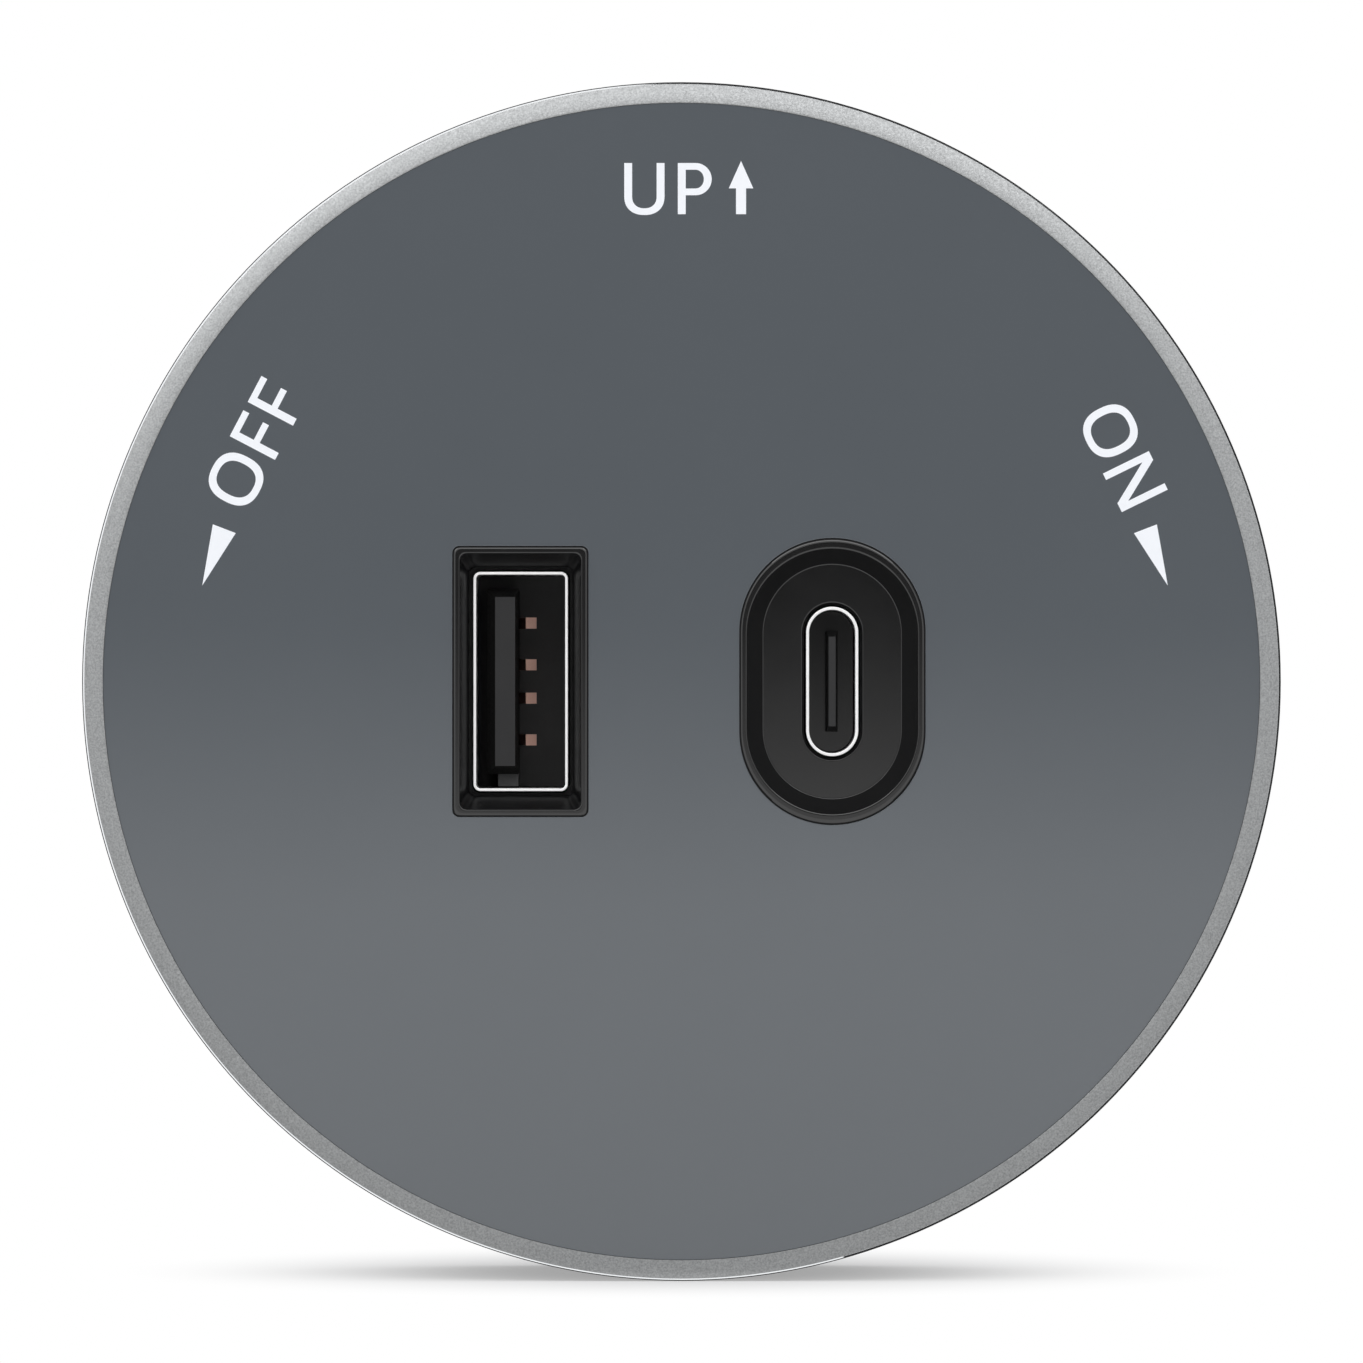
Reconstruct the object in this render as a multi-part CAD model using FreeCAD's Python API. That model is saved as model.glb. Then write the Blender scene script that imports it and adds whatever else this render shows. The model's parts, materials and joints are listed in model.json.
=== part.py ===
"""Round USB power adapter that plugs into a powered track and locks with a quarter turn.

Sizes are in millimetres. The origin is the centre of the foot's seating plane, which lies on the
face of the track. +Y points into the track, -Y towards the user, and +Z is the way that the mark
on the face points. The model stands in the position in which the adapter enters the track.
"""
import FreeCAD, Part
import math
import os

V = FreeCAD.Vector
ALONG_X = V(1, 0, 0)
ALONG_Y = V(0, 1, 0)
ALONG_Z = V(0, 0, 1)
SIDES = (1, -1)

# Fits
RUNNING_FIT = 0.05
PLATE_FIT = 0.10
SLIP_GAP = 0.15
BODY_GAP = 0.30
SCREW_CLEARANCE = 0.20
THREAD_GAP = 0.03
CUT_MARGIN = 1.0

# Housing
HOUSING_DIAMETER = 71.5
DEPTH_OFF_TRACK = 30.0
HOUSING_WALL = 1.75
LIP_WIDTH = 1.25
LIP_FALL = 0.35
LIP_FLAT = 0.10
LIP_EDGE_ROUND = 0.18
LEDGE_WIDTH = 1.0
LEDGE_THICKNESS = 1.2
RIB_COUNT = 4
RIB_WIDTH = 2.0
RIB_HEIGHT = 1.1
REAR_EDGE_ROUND = 0.4

# Face plate and port surrounds
FACE_INSET = 0.05
FACE_THICKNESS = 2.0
BEZEL_PROUD = 0.12
BEZEL_FLANGE_WIDTH = 1.0
BEZEL_FLANGE_THICKNESS = 1.0
BEZEL_EDGE_ROUND = 0.16
USB_A_SHELL_GAP = 0.27
USB_C_SHELL_GAP = 0.22
BEZEL_GAP = 0.05
FACE_EDGE_ROUND = 0.12
MOULD_GAP = 0.02

USB_A_X = -9.6
USB_A_BEZEL_WIDTH = 8.14
USB_A_BEZEL_HEIGHT = 16.18
USB_A_BEZEL_CORNER = 0.40
USB_A_LIP = 0.42
USB_A_FUNNEL_CORNER = 0.43
USB_A_FUNNEL_DEPTH = 1.45

USB_C_X = 9.0
USB_C_BEZEL_WIDTH = 11.12
USB_C_BEZEL_HEIGHT = 17.14
USB_C_LIP_SIDE = 0.42
USB_C_LIP_END = 0.62
USB_C_FLOOR_WIDTH = 8.32
USB_C_FLOOR_HEIGHT = 14.07
USB_C_RECESS_DEPTH = 1.5

# USB outlets
MOUTH_DEPTH = 1.4
OUTLET_HEIGHT = 12.6
USB_A_SHELL_WIDTH = 5.68
USB_A_SHELL_HEIGHT = 13.13
USB_A_SHELL_WALL = 0.22
USB_A_SHELL_CORNER = 0.45
USB_A_CAVITY_DEPTH = 10.0
USB_A_TONGUE_SETBACK = 1.2
USB_A_TONGUE_OFFSET = -1.115
USB_A_TONGUE_WIDTH = 1.85
USB_A_TONGUE_HEIGHT = 11.1
USB_A_TONGUE_TIP_WIDTH = 1.17
USB_A_TONGUE_TIP_HEIGHT = 10.2
USB_A_TONGUE_TIP_SHIFT = 0.1
USB_A_TONGUE_CHAMFER_DEPTH = 0.8
USB_A_GUIDE_WIDTH = 1.2
USB_A_GUIDE_SETBACK = 2.6
LEAF_POSITIONS = (3.5, 1.0, -1.0, -3.5)
LEAF_WIDTH = 0.66
LEAF_THICKNESS = 0.28
LEAF_BOW = 1.10
LEAF_TIP_SETBACK = 0.5
LEAF_RAMP_START = 1.5
LEAF_CREST_START = 2.1
LEAF_CREST_END = 3.0
LEAF_FOOT_START = 7.0
LEAF_NOTCH_SIZE = 1.1
LEAF_NOTCH_DEPTH = 0.8

USB_C_SHELL_WIDTH = 3.14
USB_C_SHELL_HEIGHT = 8.95
USB_C_SHELL_WALL = 0.25
USB_C_CAVITY_DEPTH = 6.2
USB_C_TONGUE_SETBACK = 0.7
USB_C_TONGUE_THICKNESS = 0.64
USB_C_TONGUE_CHAMFER = 0.12
USB_C_TONGUE_END_CHAMFER = 0.26
USB_C_TONGUE_CHAMFER_DEPTH = 0.35
PAD_COUNT = 12
PAD_PITCH = 0.5
PAD_EDGE = 0.25
PAD_WIDTH = 0.25
PAD_THICKNESS = 0.08
PAD_ROOT = 1.0

# Port carrier and circuit board
CARRIER_THICKNESS = 1.5
POST_DIAMETER = 6.5
POST_WALL_GAP = 1.75
POST_COUNT = 4
POST_START_ANGLE = 45.0
BOARD_THICKNESS = 1.6
BOARD_EDGE_GAP = 0.4

# Parts on the circuit board
BOARD_SEAT = 0.1
PART_HEADROOM = 1.0
TRANSFORMER_WIDTH = 17.0
TRANSFORMER_LENGTH = 15.0
CORE_LEG = 5.0
CORE_THICKNESS = 4.6
CORE_SIDE = 2.5
CORE_YOKE = 2.4
BOBBIN_WALL = 0.5
BOBBIN_FLANGE = 0.8
WINDING_INSET = 0.5
WINDING_ROUND = 1.2
BULK_CAPACITOR_LENGTH = 14.0
CRIMP_DEPTH = 0.35
CRIMP_WIDTH = 0.9
CAN_EDGE_ROUND = 0.5
OUTPUT_CAPACITOR_DIAMETER = 6.3
INDUCTOR_SIDE = 7.0
INDUCTOR_HEIGHT = 4.5
INDUCTOR_CORNER = 1.4
X_CAPACITOR_WIDTH = 5.0
X_CAPACITOR_LENGTH = 12.0
CHOKE_RADIAL_WIDTH = 1.9
CHOKE_CORE_WIDTH = 3.6
CHOKE_WIRE_BUILD = 0.6
CHOKE_WINDING_SWEEP = 130.0
VARISTOR_DIAMETER = 7.2
VARISTOR_THICKNESS = 3.8
Y_CAPACITOR_DIAMETER = 6.2
Y_CAPACITOR_THICKNESS = 3.2
DISC_EDGE_ROUND = 1.2
FUSE_DIAMETER = 7.4
FUSE_HEIGHT = 6.6
BRIDGE_WIDTH = 4.0
BRIDGE_LENGTH = 6.4
BRIDGE_HEIGHT = 2.6
CHIP_WIDTH = 3.9
CHIP_LENGTH = 4.9
CHIP_HEIGHT = 1.5
CHIP_TO_INDUCTOR = 3.2

# Rear cover
COVER_THICKNESS = 1.6
COVER_EDGE_STEP = 0.5
COVER_EDGE_ROUND = 0.5
SPIGOT_LENGTH = 2.0
SPIGOT_WALL = 2.0
COVER_SCREW_THREAD = 2.5
COVER_SCREW_HEAD = 4.6
COVER_SCREW_HEAD_HEIGHT = 1.7
COVER_SCREW_SINK = 2.0
COVER_SCREW_BITE = 6.5

# Foot that stays in the slot of the track
FOOT_DIAMETER = 52.0
FOOT_THICKNESS = 3.0
FOOT_EDGE_ROUND = 0.6
COVER_TO_FOOT = 0.5
HUB_DIAMETER = 24.0
HUB_BORE = 18.0
HUB_LIP = 0.5
RING_THICKNESS = 1.0
RING_GROOVE_DEPTH = 0.85
RING_REACH = 1.6
RING_OPENING = 7.0
WASHER_THICKNESS = 0.5
WASHER_REACH = 2.0
SLOT_WIDTH = 9.8
EAR_SLOT_GAP = 0.2
EAR_INNER_X = 5.3
EAR_OUTER_X = 11.0
EAR_HEIGHT = 3.0
EAR_CORNER = 0.8
KEYING_RIB_WIDTH = 2.6
KEYING_RIB_HEIGHT = 0.8
STOP_PEG_CIRCLE = 20.0
STOP_PEG_DIAMETER = 2.4
STOP_PEG_LENGTH = 1.3
STOP_PEG_ANGLE = 45.0
STOP_GROOVE_DEPTH = 1.0
TWIST_ANGLE = 90.0

# Key that turns behind the lips of the track
NECK_DIAMETER = 8.6
LIP_SPACE = 3.6
HEAD_DIAMETER = 24.0
HEAD_WIDTH = 8.6
HEAD_LENGTH = 14.0
HEAD_CHAMFER = 0.8
KEY_FLANGE_CLEAR_OF_WEB = 0.2
KEY_SPIGOT_PAST_BRIDGE = 0.6
KEY_BRIDGE_THICKNESS = 1.8
KEY_BRIDGE_RIM = 3.0
KEY_POST_DIAMETER = 5.0
KEY_POST_TO_WASHER = 0.5
SMALL_THREAD = 2.0
SMALL_HEAD = 3.6
SMALL_HEAD_HEIGHT = 1.2
FLANGE_SCREW_BITE = 3.6
POST_SCREW_BITE = 2.4
KEY_SCREW_COUNT = 4
CLAMP_THREAD = 1.6
CLAMP_HEAD = 2.6
CLAMP_HEAD_HEIGHT = 0.9
CLAMP_SCREW_X = 6.5
HEAD_ROUND_SHARE = 0.35
RECESS_LENGTH_SHARE = 0.56
RECESS_WIDTH_SHARE = 0.13
RECESS_DEPTH_SHARE = 0.55

# Sprung contacts and their conductors
LIVE_CONTACT_PAST_LIP = 2.8
EARTH_CONTACT_FROM_END = 3.4
CONTACT_NOSE_DIAMETER = 3.0
CONTACT_COLLAR_DIAMETER = 4.0
CONTACT_COLLAR_LENGTH = 1.5
CONTACT_SPIGOT_DIAMETER = 1.8
CONTACT_SPIGOT_LENGTH = 1.6
CONTACT_REACH = 1.2
CONTACT_END_WALL = 2.25
SPRING_WIRE = 0.35
SPRING_TURNS = 5
SPRING_END_GAP = 0.02
STRIP_THICKNESS = 0.6
STRIP_WIDTH = 2.5
STRIP_SPACING = 2.9
STRIP_FIT = 0.05
STRIP_TAIL = 1.2

# Places that follow from the sizes
HOUSING_RADIUS = HOUSING_DIAMETER / 2
BORE_RADIUS = HOUSING_RADIUS - HOUSING_WALL
FACE_RECESS_RADIUS = HOUSING_RADIUS - LIP_WIDTH
LEDGE_RADIUS = BORE_RADIUS - LEDGE_WIDTH
RIB_RADIUS = BORE_RADIUS - RIB_HEIGHT
POST_CIRCLE = BORE_RADIUS - POST_WALL_GAP - POST_DIAMETER / 2
BOARD_RADIUS = RIB_RADIUS - BOARD_EDGE_GAP

RING_FRONT = -DEPTH_OFF_TRACK
FACE_FRONT = RING_FRONT + FACE_INSET
FACE_BACK = FACE_FRONT + FACE_THICKNESS
CARRIER_FRONT = FACE_BACK + LEDGE_THICKNESS
CARRIER_BACK = CARRIER_FRONT + CARRIER_THICKNESS
BEZEL_FRONT = FACE_FRONT - BEZEL_PROUD
BEZEL_BACK = FACE_BACK + BEZEL_FLANGE_THICKNESS
MOUTH = RING_FRONT + MOUTH_DEPTH
BOARD_FRONT = MOUTH + OUTLET_HEIGHT
BOARD_BACK = BOARD_FRONT + BOARD_THICKNESS
TALL_PART_HEIGHT = BOARD_FRONT - BOARD_SEAT - CARRIER_BACK - PART_HEADROOM
CHOKE_CORE_RADIUS = TALL_PART_HEIGHT / 2 - CHOKE_WIRE_BUILD
CHOKE_CORE_BORE = CHOKE_CORE_RADIUS - CHOKE_RADIAL_WIDTH
USB_C_TONGUE_HEIGHT = (PAD_COUNT - 1) * PAD_PITCH + 2 * PAD_EDGE

FOOT_FRONT = -FOOT_THICKNESS
COVER_BACK = FOOT_FRONT - COVER_TO_FOOT
COVER_FRONT = COVER_BACK - COVER_THICKNESS
SPIGOT_FRONT = COVER_FRONT - SPIGOT_LENGTH
HUB_RADIUS = HUB_DIAMETER / 2
WASHER_BACK = COVER_FRONT - SLIP_GAP
WASHER_FRONT = WASHER_BACK - WASHER_THICKNESS
CLIP_BACK = WASHER_FRONT - RUNNING_FIT
CLIP_FRONT = CLIP_BACK - RING_THICKNESS
GROOVE_FRONT = CLIP_FRONT - RUNNING_FIT
HUB_FRONT = GROOVE_FRONT - HUB_LIP
BRIDGE_BACK = HUB_FRONT - BODY_GAP
BRIDGE_FRONT = BRIDGE_BACK - KEY_BRIDGE_THICKNESS
KEY_FRONT = BRIDGE_FRONT - KEY_SPIGOT_PAST_BRIDGE
FLANGE_BACK = FOOT_FRONT - KEY_FLANGE_CLEAR_OF_WEB
HEAD_BACK = LIP_SPACE + HEAD_LENGTH
NECK_RADIUS = NECK_DIAMETER / 2
HEAD_RADIUS = HEAD_DIAMETER / 2
KEY_BRIDGE_SCREW_CIRCLE = HUB_RADIUS + WASHER_REACH + KEY_POST_TO_WASHER + KEY_POST_DIAMETER / 2
KEY_BRIDGE_RADIUS = KEY_BRIDGE_SCREW_CIRCLE + KEY_BRIDGE_RIM
KEY_FLANGE_SCREW_CIRCLE = NECK_RADIUS + BODY_GAP + SMALL_HEAD / 2
LIVE_CONTACT_DEPTH = LIP_SPACE + LIVE_CONTACT_PAST_LIP
EARTH_CONTACT_DEPTH = HEAD_BACK - EARTH_CONTACT_FROM_END

STRIP_FACE = STRIP_SPACING + STRIP_THICKNESS / 2
COLLAR_RADIUS = CONTACT_COLLAR_DIAMETER / 2
NOSE_RADIUS = CONTACT_NOSE_DIAMETER / 2
NOSE_TIP = HEAD_RADIUS + CONTACT_REACH
SHOULDER = HEAD_RADIUS - CONTACT_END_WALL
COLLAR_OUTER_X = SHOULDER - RUNNING_FIT
COLLAR_INNER_X = COLLAR_OUTER_X - CONTACT_COLLAR_LENGTH
LIVE_STRIP_END = LIVE_CONTACT_DEPTH + COLLAR_RADIUS
EARTH_BAR_START = EARTH_CONTACT_DEPTH - COLLAR_RADIUS
EARTH_BAR_END = EARTH_CONTACT_DEPTH + COLLAR_RADIUS
STRIP_START = BOARD_FRONT - STRIP_TAIL


def at_angle(radius, degrees, y=0.0):
    """Point on a circle about the Y axis; the angle runs from +X towards +Z."""
    turn = math.radians(degrees)
    return V(radius * math.cos(turn), y, radius * math.sin(turn))


def on_circle(radius, degrees):
    """X and Z of a point on a circle about the Y axis."""
    point = at_angle(radius, degrees)
    return point.x, point.z


def disc(radius, y_front, y_back, x=0.0, z=0.0):
    """Cylinder along Y between two planes."""
    return Part.makeCylinder(radius, y_back - y_front, V(x, y_front, z), ALONG_Y)


def ring(outer, inner, y_front, y_back):
    """Plain ring about the Y axis."""
    return disc(outer, y_front, y_back).cut(disc(inner, y_front, y_back))


def rod_x(radius, x_from, x_to, y, z=0.0):
    """Cylinder along X between two places."""
    return Part.makeCylinder(radius, x_to - x_from, V(x_from, y, z), ALONG_X)


def block(centre, width, depth, height):
    """Box about a centre; width runs along X, depth along Y and height along Z."""
    corner = centre - V(width / 2, depth / 2, height / 2)
    return Part.makeBox(width, depth, height, corner)


def box_between(low, high):
    """Box from its lowest to its highest corner."""
    size = high - low
    return Part.makeBox(size.x, size.y, size.z, low)


def turned(profile):
    """Solid turned about the Y axis from points of radius and Y."""
    points = [V(radius, y, 0) for radius, y in profile]
    face = Part.Face(Part.makePolygon(points + points[:1]))
    return face.revolve(V(0, 0, 0), ALONG_Y, 360)


def outline(width, height, corner, y, x=0.0, z=0.0):
    """Wire of a rectangle with round corners in the plane y; the width runs along X.

    A corner radius of half the width gives a round-ended slot, and 0 gives square corners.
    """
    half_w, half_h = width / 2, height / 2
    if corner <= 0:
        ends = [(-half_w, -half_h), (half_w, -half_h), (half_w, half_h), (-half_w, half_h)]
        points = [V(x + px, y, z + pz) for px, pz in ends]
        return Part.makePolygon(points + points[:1])
    edges = []
    inner_w, inner_h = half_w - corner, half_h - corner
    centres = [(inner_w, inner_h), (-inner_w, inner_h), (-inner_w, -inner_h), (inner_w, -inner_h)]
    last = None
    for quarter, (cx, cz) in enumerate(centres):
        centre = V(x + cx, y, z + cz)
        start, middle, end = (centre + at_angle(corner, 90 * quarter + turn) for turn in (0, 45, 90))
        if last and last.distanceToPoint(start) > 1e-6:
            edges.append(Part.LineSegment(last, start).toShape())
        edges.append(Part.Arc(start, middle, end).toShape())
        last = end
    first = edges[0].Vertexes[0].Point
    if last.distanceToPoint(first) > 1e-6:
        edges.append(Part.LineSegment(last, first).toShape())
    return Part.Wire(edges)


def prism(width, height, corner, y_front, y_back, x=0.0, z=0.0):
    """Solid with a round-cornered outline between two planes."""
    face = Part.Face(outline(width, height, corner, y_front, x, z))
    return face.extrude(V(0, y_back - y_front, 0))


def tapered(front, back):
    """Solid between two outlines with ruled sides."""
    return Part.makeLoft([front, back], True, True)


def edges_in_plane(shape, y, least_radius=0.0):
    """Edges that lie wholly in the plane y, leaving out those nearer the Y axis than a radius."""
    found = []
    for edge in shape.Edges:
        box = edge.BoundBox
        if abs(box.YMin - y) > 1e-4 or abs(box.YMax - y) > 1e-4:
            continue
        reach = max(abs(box.XMin), abs(box.XMax), abs(box.ZMin), abs(box.ZMax))
        if reach >= least_radius:
            found.append(edge)
    return found


def around(shape, angles):
    """Copies of a shape turned about the Y axis from +X towards +Z."""
    copies = []
    for degrees in angles:
        copy = shape.copy()
        copy.rotate(V(0, 0, 0), V(0, -1, 0), degrees)
        copies.append(copy)
    return copies


def mirrored(shape):
    """The same shape on the other side of the plane x = 0."""
    return shape.mirror(V(0, 0, 0), ALONG_X)


def spread(count, start=0.0):
    """Evenly spaced angles round a circle."""
    return [start + 360.0 * index / count for index in range(count)]


def in_a_row(start, end, lengths):
    """Middles of pieces that stand in a row between two places, with equal gaps round each."""
    gap = (end - start - sum(lengths)) / (len(lengths) + 1)
    middles = []
    for length in lengths:
        middles.append(start + gap + length / 2)
        start += gap + length
    return middles


POST_ANGLES = spread(POST_COUNT, POST_START_ANGLE)
RIB_ANGLES = spread(RIB_COUNT)
POST_SCREW_ANGLES = spread(KEY_SCREW_COUNT)
FLANGE_SCREW_ANGLES = spread(KEY_SCREW_COUNT, 180.0 / KEY_SCREW_COUNT)


def screw(seat, pointing, thread, head, head_height, length):
    """Pan-head screw with a cross recess; the seat is the centre of the head's underside."""
    head_solid = Part.makeCylinder(head / 2, head_height)
    top = [edge for edge in head_solid.Edges if edge.BoundBox.ZMin > head_height - 1e-6]
    head_solid = head_solid.makeFillet(head_height * HEAD_ROUND_SHARE, top)
    slot_long, slot_wide = head * RECESS_LENGTH_SHARE, head * RECESS_WIDTH_SHARE
    slot_deep = head_height * RECESS_DEPTH_SHARE
    middle = V(0, 0, head_height - slot_deep / 2)
    for size_x, size_y in ((slot_long, slot_wide), (slot_wide, slot_long)):
        head_solid = head_solid.cut(block(middle, size_x, size_y, slot_deep))
    shank = Part.makeCylinder(thread / 2, length, V(0, 0, 0), V(0, 0, -1))
    whole = head_solid.fuse(shank)
    whole.Placement = FreeCAD.Placement(seat, FreeCAD.Rotation(V(0, 0, -1), pointing))
    return whole


def rib_blocks(grow):
    """The anti-turn ribs inside the housing, or the notches that take them."""
    inner = RIB_RADIUS - grow
    width = RIB_WIDTH + 2 * grow
    back = SPIGOT_FRONT - SLIP_GAP
    low = V(inner, CARRIER_FRONT, -width / 2)
    high = V(BORE_RADIUS + HOUSING_WALL / 2, back, width / 2)
    return around(box_between(low, high), RIB_ANGLES)


def housing_shell():
    """Silver ring, ledge and cup wall in one turned piece, with ribs that stop the inside turning."""
    cup = turned([
        (FACE_RECESS_RADIUS, RING_FRONT),
        (FACE_RECESS_RADIUS + LIP_FLAT, RING_FRONT),
        (HOUSING_RADIUS, RING_FRONT + LIP_FALL),
        (HOUSING_RADIUS, COVER_FRONT),
        (BORE_RADIUS, COVER_FRONT),
        (BORE_RADIUS, CARRIER_FRONT),
        (LEDGE_RADIUS, CARRIER_FRONT),
        (LEDGE_RADIUS, FACE_BACK),
        (FACE_RECESS_RADIUS, FACE_BACK),
    ])
    cup = cup.makeFillet(LIP_EDGE_ROUND, edges_in_plane(cup, RING_FRONT + LIP_FALL))
    cup = cup.makeFillet(REAR_EDGE_ROUND, edges_in_plane(cup, COVER_FRONT, HOUSING_RADIUS - 0.01))
    return cup.fuse(rib_blocks(0.0)).removeSplitter()


def face_plate():
    """Glossy disc with an opening for each port surround."""
    plate = disc(FACE_RECESS_RADIUS - RUNNING_FIT, FACE_FRONT, FACE_BACK)
    plate = plate.makeFillet(FACE_EDGE_ROUND, edges_in_plane(plate, FACE_FRONT))
    opening_a = prism(
        USB_A_BEZEL_WIDTH + 2 * BEZEL_GAP, USB_A_BEZEL_HEIGHT + 2 * BEZEL_GAP,
        USB_A_BEZEL_CORNER + BEZEL_GAP, FACE_FRONT, FACE_BACK, USB_A_X)
    width_c = USB_C_BEZEL_WIDTH + 2 * BEZEL_GAP
    opening_c = prism(
        width_c, USB_C_BEZEL_HEIGHT + 2 * BEZEL_GAP, width_c / 2, FACE_FRONT, FACE_BACK, USB_C_X)
    return plate.cut([opening_a, opening_c])


def usb_a_bezel():
    """Black surround with a funnel that leads the plug to the wide outlet."""
    width, height, x = USB_A_BEZEL_WIDTH, USB_A_BEZEL_HEIGHT, USB_A_X
    body = prism(width, height, USB_A_BEZEL_CORNER, BEZEL_FRONT, FACE_BACK, x)
    flange = prism(
        width + 2 * BEZEL_FLANGE_WIDTH, height + 2 * BEZEL_FLANGE_WIDTH, BEZEL_FLANGE_WIDTH,
        FACE_BACK, BEZEL_BACK, x)
    throat_width = USB_A_SHELL_WIDTH + 2 * USB_A_SHELL_GAP
    throat_height = USB_A_SHELL_HEIGHT + 2 * USB_A_SHELL_GAP
    throat_front = BEZEL_FRONT + USB_A_FUNNEL_DEPTH
    funnel = tapered(
        outline(width - 2 * USB_A_LIP, height - 2 * USB_A_LIP, USB_A_FUNNEL_CORNER, BEZEL_FRONT, x),
        outline(throat_width, throat_height, USB_A_FUNNEL_CORNER, throat_front, x))
    throat = prism(throat_width, throat_height, USB_A_FUNNEL_CORNER, throat_front, BEZEL_BACK, x)
    bezel = body.fuse(flange).cut([funnel, throat]).removeSplitter()
    return bezel.makeFillet(BEZEL_EDGE_ROUND, edges_in_plane(bezel, BEZEL_FRONT))


def usb_c_bezel():
    """Black round-ended surround with a sloping recess and a flat floor round the small outlet."""
    width, height, x = USB_C_BEZEL_WIDTH, USB_C_BEZEL_HEIGHT, USB_C_X
    body = prism(width, height, width / 2, BEZEL_FRONT, FACE_BACK, x)
    flange_width = width + 2 * BEZEL_FLANGE_WIDTH
    flange = prism(
        flange_width, height + 2 * BEZEL_FLANGE_WIDTH, flange_width / 2, FACE_BACK, BEZEL_BACK, x)
    floor = BEZEL_FRONT + USB_C_RECESS_DEPTH
    mouth_width = width - 2 * USB_C_LIP_SIDE
    recess = tapered(
        outline(mouth_width, height - 2 * USB_C_LIP_END, mouth_width / 2, BEZEL_FRONT, x),
        outline(USB_C_FLOOR_WIDTH, USB_C_FLOOR_HEIGHT, USB_C_FLOOR_WIDTH / 2, floor, x))
    slot_width = USB_C_SHELL_WIDTH + 2 * USB_C_SHELL_GAP
    slot = prism(
        slot_width, USB_C_SHELL_HEIGHT + 2 * USB_C_SHELL_GAP, slot_width / 2, BEZEL_FRONT,
        BEZEL_BACK, x)
    bezel = body.fuse(flange).cut([recess, slot]).removeSplitter()
    return bezel.makeFillet(BEZEL_EDGE_ROUND, edges_in_plane(bezel, BEZEL_FRONT))


def usb_a_shell():
    """Folded metal shell of the wide outlet, open at the front."""
    outer = prism(
        USB_A_SHELL_WIDTH, USB_A_SHELL_HEIGHT, USB_A_SHELL_CORNER, MOUTH, BOARD_FRONT, USB_A_X)
    wall = 2 * USB_A_SHELL_WALL
    inner = prism(
        USB_A_SHELL_WIDTH - wall, USB_A_SHELL_HEIGHT - wall,
        USB_A_SHELL_CORNER - USB_A_SHELL_WALL, MOUTH, BOARD_FRONT, USB_A_X)
    return outer.cut(inner)


def usb_a_leaf_side():
    """X of the tongue's side that carries the leaves."""
    return USB_A_X + USB_A_TONGUE_OFFSET + USB_A_TONGUE_WIDTH / 2


def usb_a_insulator():
    """Block that fills the back of the wide outlet, with its tongue and the two guides beside it."""
    wall = 2 * (USB_A_SHELL_WALL + MOULD_GAP)
    cavity_floor = MOUTH + USB_A_CAVITY_DEPTH
    block_height = USB_A_SHELL_HEIGHT - wall
    base = prism(
        USB_A_SHELL_WIDTH - wall, block_height, USB_A_SHELL_CORNER - USB_A_SHELL_WALL,
        cavity_floor, BOARD_FRONT, USB_A_X)
    side = usb_a_leaf_side()
    tongue_x = USB_A_X + USB_A_TONGUE_OFFSET
    tip = MOUTH + USB_A_TONGUE_SETBACK
    shoulder = tip + USB_A_TONGUE_CHAMFER_DEPTH
    tongue = prism(USB_A_TONGUE_WIDTH, USB_A_TONGUE_HEIGHT, 0, shoulder, cavity_floor, tongue_x)
    nose = tapered(
        outline(USB_A_TONGUE_TIP_WIDTH, USB_A_TONGUE_TIP_HEIGHT, 0, tip,
                tongue_x + USB_A_TONGUE_TIP_SHIFT),
        outline(USB_A_TONGUE_WIDTH, USB_A_TONGUE_HEIGHT, 0, shoulder, tongue_x))
    pieces = [tongue, nose]
    for way in SIDES:
        z_edges = sorted((way * USB_A_TONGUE_HEIGHT / 2, way * block_height / 2))
        low = V(side - USB_A_GUIDE_WIDTH, MOUTH + USB_A_GUIDE_SETBACK, z_edges[0])
        pieces.append(box_between(low, V(side, cavity_floor, z_edges[1])))
    whole = base.fuse(pieces)
    notches = []
    for z in LEAF_POSITIONS:
        low = V(side, cavity_floor, z - LEAF_NOTCH_SIZE / 2)
        high = V(side + LEAF_NOTCH_SIZE, cavity_floor + LEAF_NOTCH_DEPTH, z + LEAF_NOTCH_SIZE / 2)
        notches.append(box_between(low, high))
    return whole.cut(notches).removeSplitter()


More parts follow.
